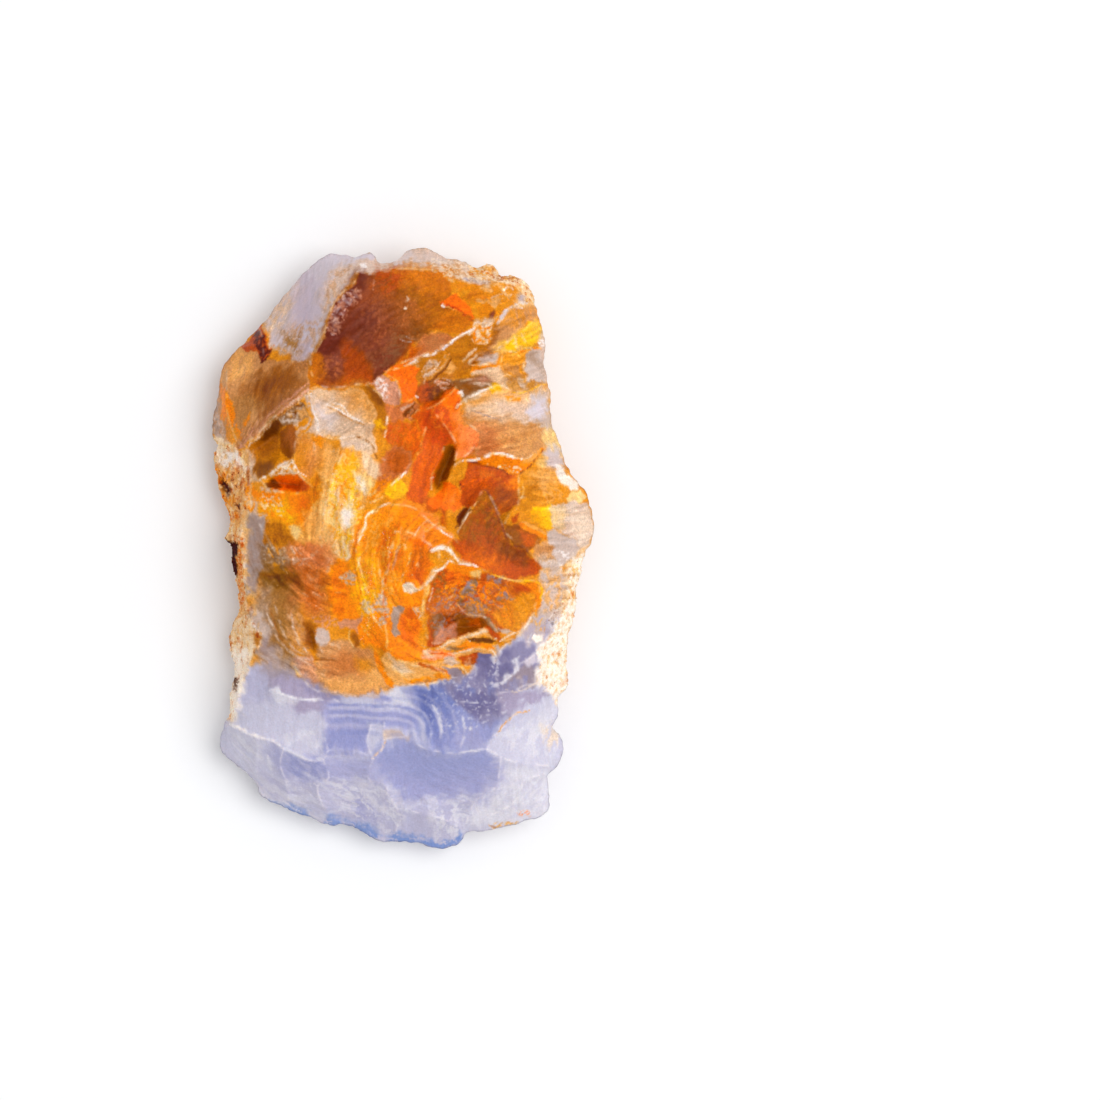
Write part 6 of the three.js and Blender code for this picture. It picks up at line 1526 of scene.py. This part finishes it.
def aimed(light, place, target):
    """A light put in one place and turned towards another."""
    light.location = place
    light.rotation_euler = (Vector(target) - Vector(place)).to_track_quat("-Z", "Y").to_euler()
    return light


def spacing(name, description, default, least):
    """A setting for a length, given in millimetres and kept in metres."""
    return FloatProperty(name=name, description=description, default=default * MM, min=least * MM,
                         unit="LENGTH", precision=5)


class AgateSizes(bpy.types.PropertyGroup):
    """Sizes of the stone's skin and of the grains on its crust."""
    top_spacing: spacing("Top Spacing", "Distance between the points of the upper face", 0.14, 0.05)
    under_spacing: spacing("Under Spacing", "Distance between the points of the lower face", 0.9, 0.3)
    grain_spacing: spacing("Grain Spacing", "Least distance between two grains of the crust", 0.29, 0.1)
    grain_radius: spacing("Grain Radius", "Radius of a grain of middling size", 0.11, 0.02)


class AgateColours(bpy.types.PropertyGroup):
    """The colours that the markings are painted in."""


for shade, value in PALETTE.items():
    title = shade.replace("_", " ").title()
    AgateColours.__annotations__[shade] = FloatVectorProperty(
        name=title, description=f"{title} of the markings", subtype="COLOR_GAMMA", size=3, min=0, max=1,
        default=[channel / 255 for channel in value])


class AgateStage(bpy.types.PropertyGroup):
    """The camera and lights of the stage."""
    camera_height: FloatProperty(name="Camera Height", description="Height of the camera above the floor",
                                 default=0.3794, min=0.1, unit="LENGTH")
    lens: FloatProperty(name="Lens", description="Focal length of the camera", default=135, min=20,
                        unit="CAMERA")
    key_power: FloatProperty(name="Key Power", description="Power of the large soft light at the upper right",
                             default=4.6, min=0, unit="POWER")
    room_strength: FloatProperty(name="Room Strength", description="Brightness of the light from all around",
                                 default=0.72, min=0, subtype="FACTOR")


class AGATE_OT_build_stone(bpy.types.Operator):
    """Builds the broken stone with its painted markings, in place of the plain solid"""
    bl_idname = "agate.build_stone"
    bl_label = "Build the Stone"

    def execute(self, context):
        scene = context.scene
        stone = bpy.data.objects.new("agate_stone", stone_mesh(scene.agate_sizes, scene.agate_colours))
        scene.collection.objects.link(stone)
        material = mineral("polished_break", shared_grain(), roughness=0.38, crust_roughness=0.85,
                           speck_size=0.18 * MM, speck_contrast=0.28, line_contrast=0.3, height=0.012 * MM)
        stone.data.materials.append(material)
        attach(stone, "root")
        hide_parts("stone")
        return {"FINISHED"}


class AGATE_OT_scatter_grains(bpy.types.Operator):
    """Scatters the sandy grains over the crust of the stone"""
    bl_idname = "agate.scatter_grains"
    bl_label = "Scatter the Crust Grains"

    def execute(self, context):
        scene = context.scene
        material = mineral("sandy_crust", shared_grain(), roughness=0.85, crust_roughness=0.85,
                           speck_size=0.3 * MM, speck_contrast=0.12, line_contrast=0, height=0.012 * MM)
        grains = bpy.data.objects.new("crust_grains", bpy.data.objects["agate_stone"].data.copy())
        scene.collection.objects.link(grains)
        scatter = grains.modifiers.new("scatter", "NODES")
        scatter.node_group = grain_tree(material)
        sizes = scene.agate_sizes
        values = {"Spacing": sizes.grain_spacing, "Radius": sizes.grain_radius, "Seed": SEEDS["grains"]}
        for socket in scatter.node_group.interface.items_tree:
            if socket.in_out == "INPUT" and socket.name in values:
                scatter[socket.identifier] = values[socket.name]
        context.view_layer.update()
        state = context.evaluated_depsgraph_get()
        mesh = bpy.data.meshes.new_from_object(grains.evaluated_get(state), preserve_all_data_layers=True,
                                               depsgraph=state)
        grains.modifiers.remove(scatter)
        grains.data = mesh
        mesh.name = "crust_grains"
        if not mesh.polygons:
            raise RuntimeError("no grains were scattered over the crust")
        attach(grains, "root")
        return {"FINISHED"}


class AGATE_OT_set_stage(bpy.types.Operator):
    """Sets out the pale floor, the soft light and the camera above the stone"""
    bl_idname = "agate.set_stage"
    bl_label = "Set the Stage"

    def execute(self, context):
        scene = context.scene
        settings = scene.agate_stage
        floor_mesh = bpy.data.meshes.new("floor")
        ends = [(x * FLOOR_REACH, y * FLOOR_REACH, 0) for x, y in ((-1, -1), (1, -1), (1, 1), (-1, 1))]
        floor_mesh.from_pydata(ends, [], [(0, 1, 2, 3)])
        floor = bpy.data.objects.new("floor", floor_mesh)
        paper = bpy.data.materials.new("pale_floor")
        paper.use_nodes = True
        surface = paper.node_tree.nodes["Principled BSDF"]
        surface.inputs["Base Color"].default_value = PAPER
        surface.inputs["Roughness"].default_value = 0.9
        surface.inputs["Specular IOR Level"].default_value = 0.1
        floor_mesh.materials.append(paper)
        scene.collection.objects.link(floor)

        room = bpy.data.worlds.new("room")
        room.use_nodes = True
        glow = room.node_tree.nodes["Background"].inputs
        glow["Color"].default_value = ROOM_LIGHT
        glow["Strength"].default_value = settings.room_strength
        scene.world = room
        lamp = bpy.data.lights.new("key_light", "AREA")
        lamp.shape = "DISK"
        lamp.size = KEY_SIZE
        lamp.energy = settings.key_power
        key = aimed(bpy.data.objects.new("key_light", lamp), KEY_PLACE, (0, 0, 0))
        scene.collection.objects.link(key)

        eye = bpy.data.cameras.new("camera")
        eye.lens, eye.sensor_width = settings.lens, SENSOR
        eye.clip_start, eye.clip_end = 0.01, 10
        camera = bpy.data.objects.new("camera", eye)
        camera.location = (*LOOK_AT, settings.camera_height)
        scene.collection.objects.link(camera)
        scene.camera = camera
        scene.view_settings.view_transform = "Standard"
        return {"FINISHED"}


class AGATE_PT_panel(bpy.types.Panel):
    """Lists the steps that make the agate, with the sizes and colours that they use"""
    bl_idname = "AGATE_PT_panel"
    bl_label = "Blue Lace Agate"
    bl_space_type = "VIEW_3D"
    bl_region_type = "UI"
    bl_category = "Agate"

    def draw(self, context):
        for settings in (context.scene.agate_sizes, context.scene.agate_colours, context.scene.agate_stage):
            for name in settings.__annotations__:
                self.layout.prop(settings, name)
        for step in STEPS:
            self.layout.operator(step.bl_idname)


STEPS = (AGATE_OT_build_stone, AGATE_OT_scatter_grains, AGATE_OT_set_stage)
CLASSES = (AgateSizes, AgateColours, AgateStage, *STEPS, AGATE_PT_panel)


def register():
    for made in CLASSES:
        bpy.utils.register_class(made)
    bpy.types.Scene.agate_sizes = PointerProperty(type=AgateSizes)
    bpy.types.Scene.agate_colours = PointerProperty(type=AgateColours)
    bpy.types.Scene.agate_stage = PointerProperty(type=AgateStage)


def unregister():
    del bpy.types.Scene.agate_stage, bpy.types.Scene.agate_colours, bpy.types.Scene.agate_sizes
    for made in reversed(CLASSES):
        bpy.utils.unregister_class(made)


def main():
    register()
    bpy.ops.agate.build_stone()
    bpy.ops.agate.scatter_grains()
    bpy.ops.agate.set_stage()


if __name__ == "__main__":
    main()
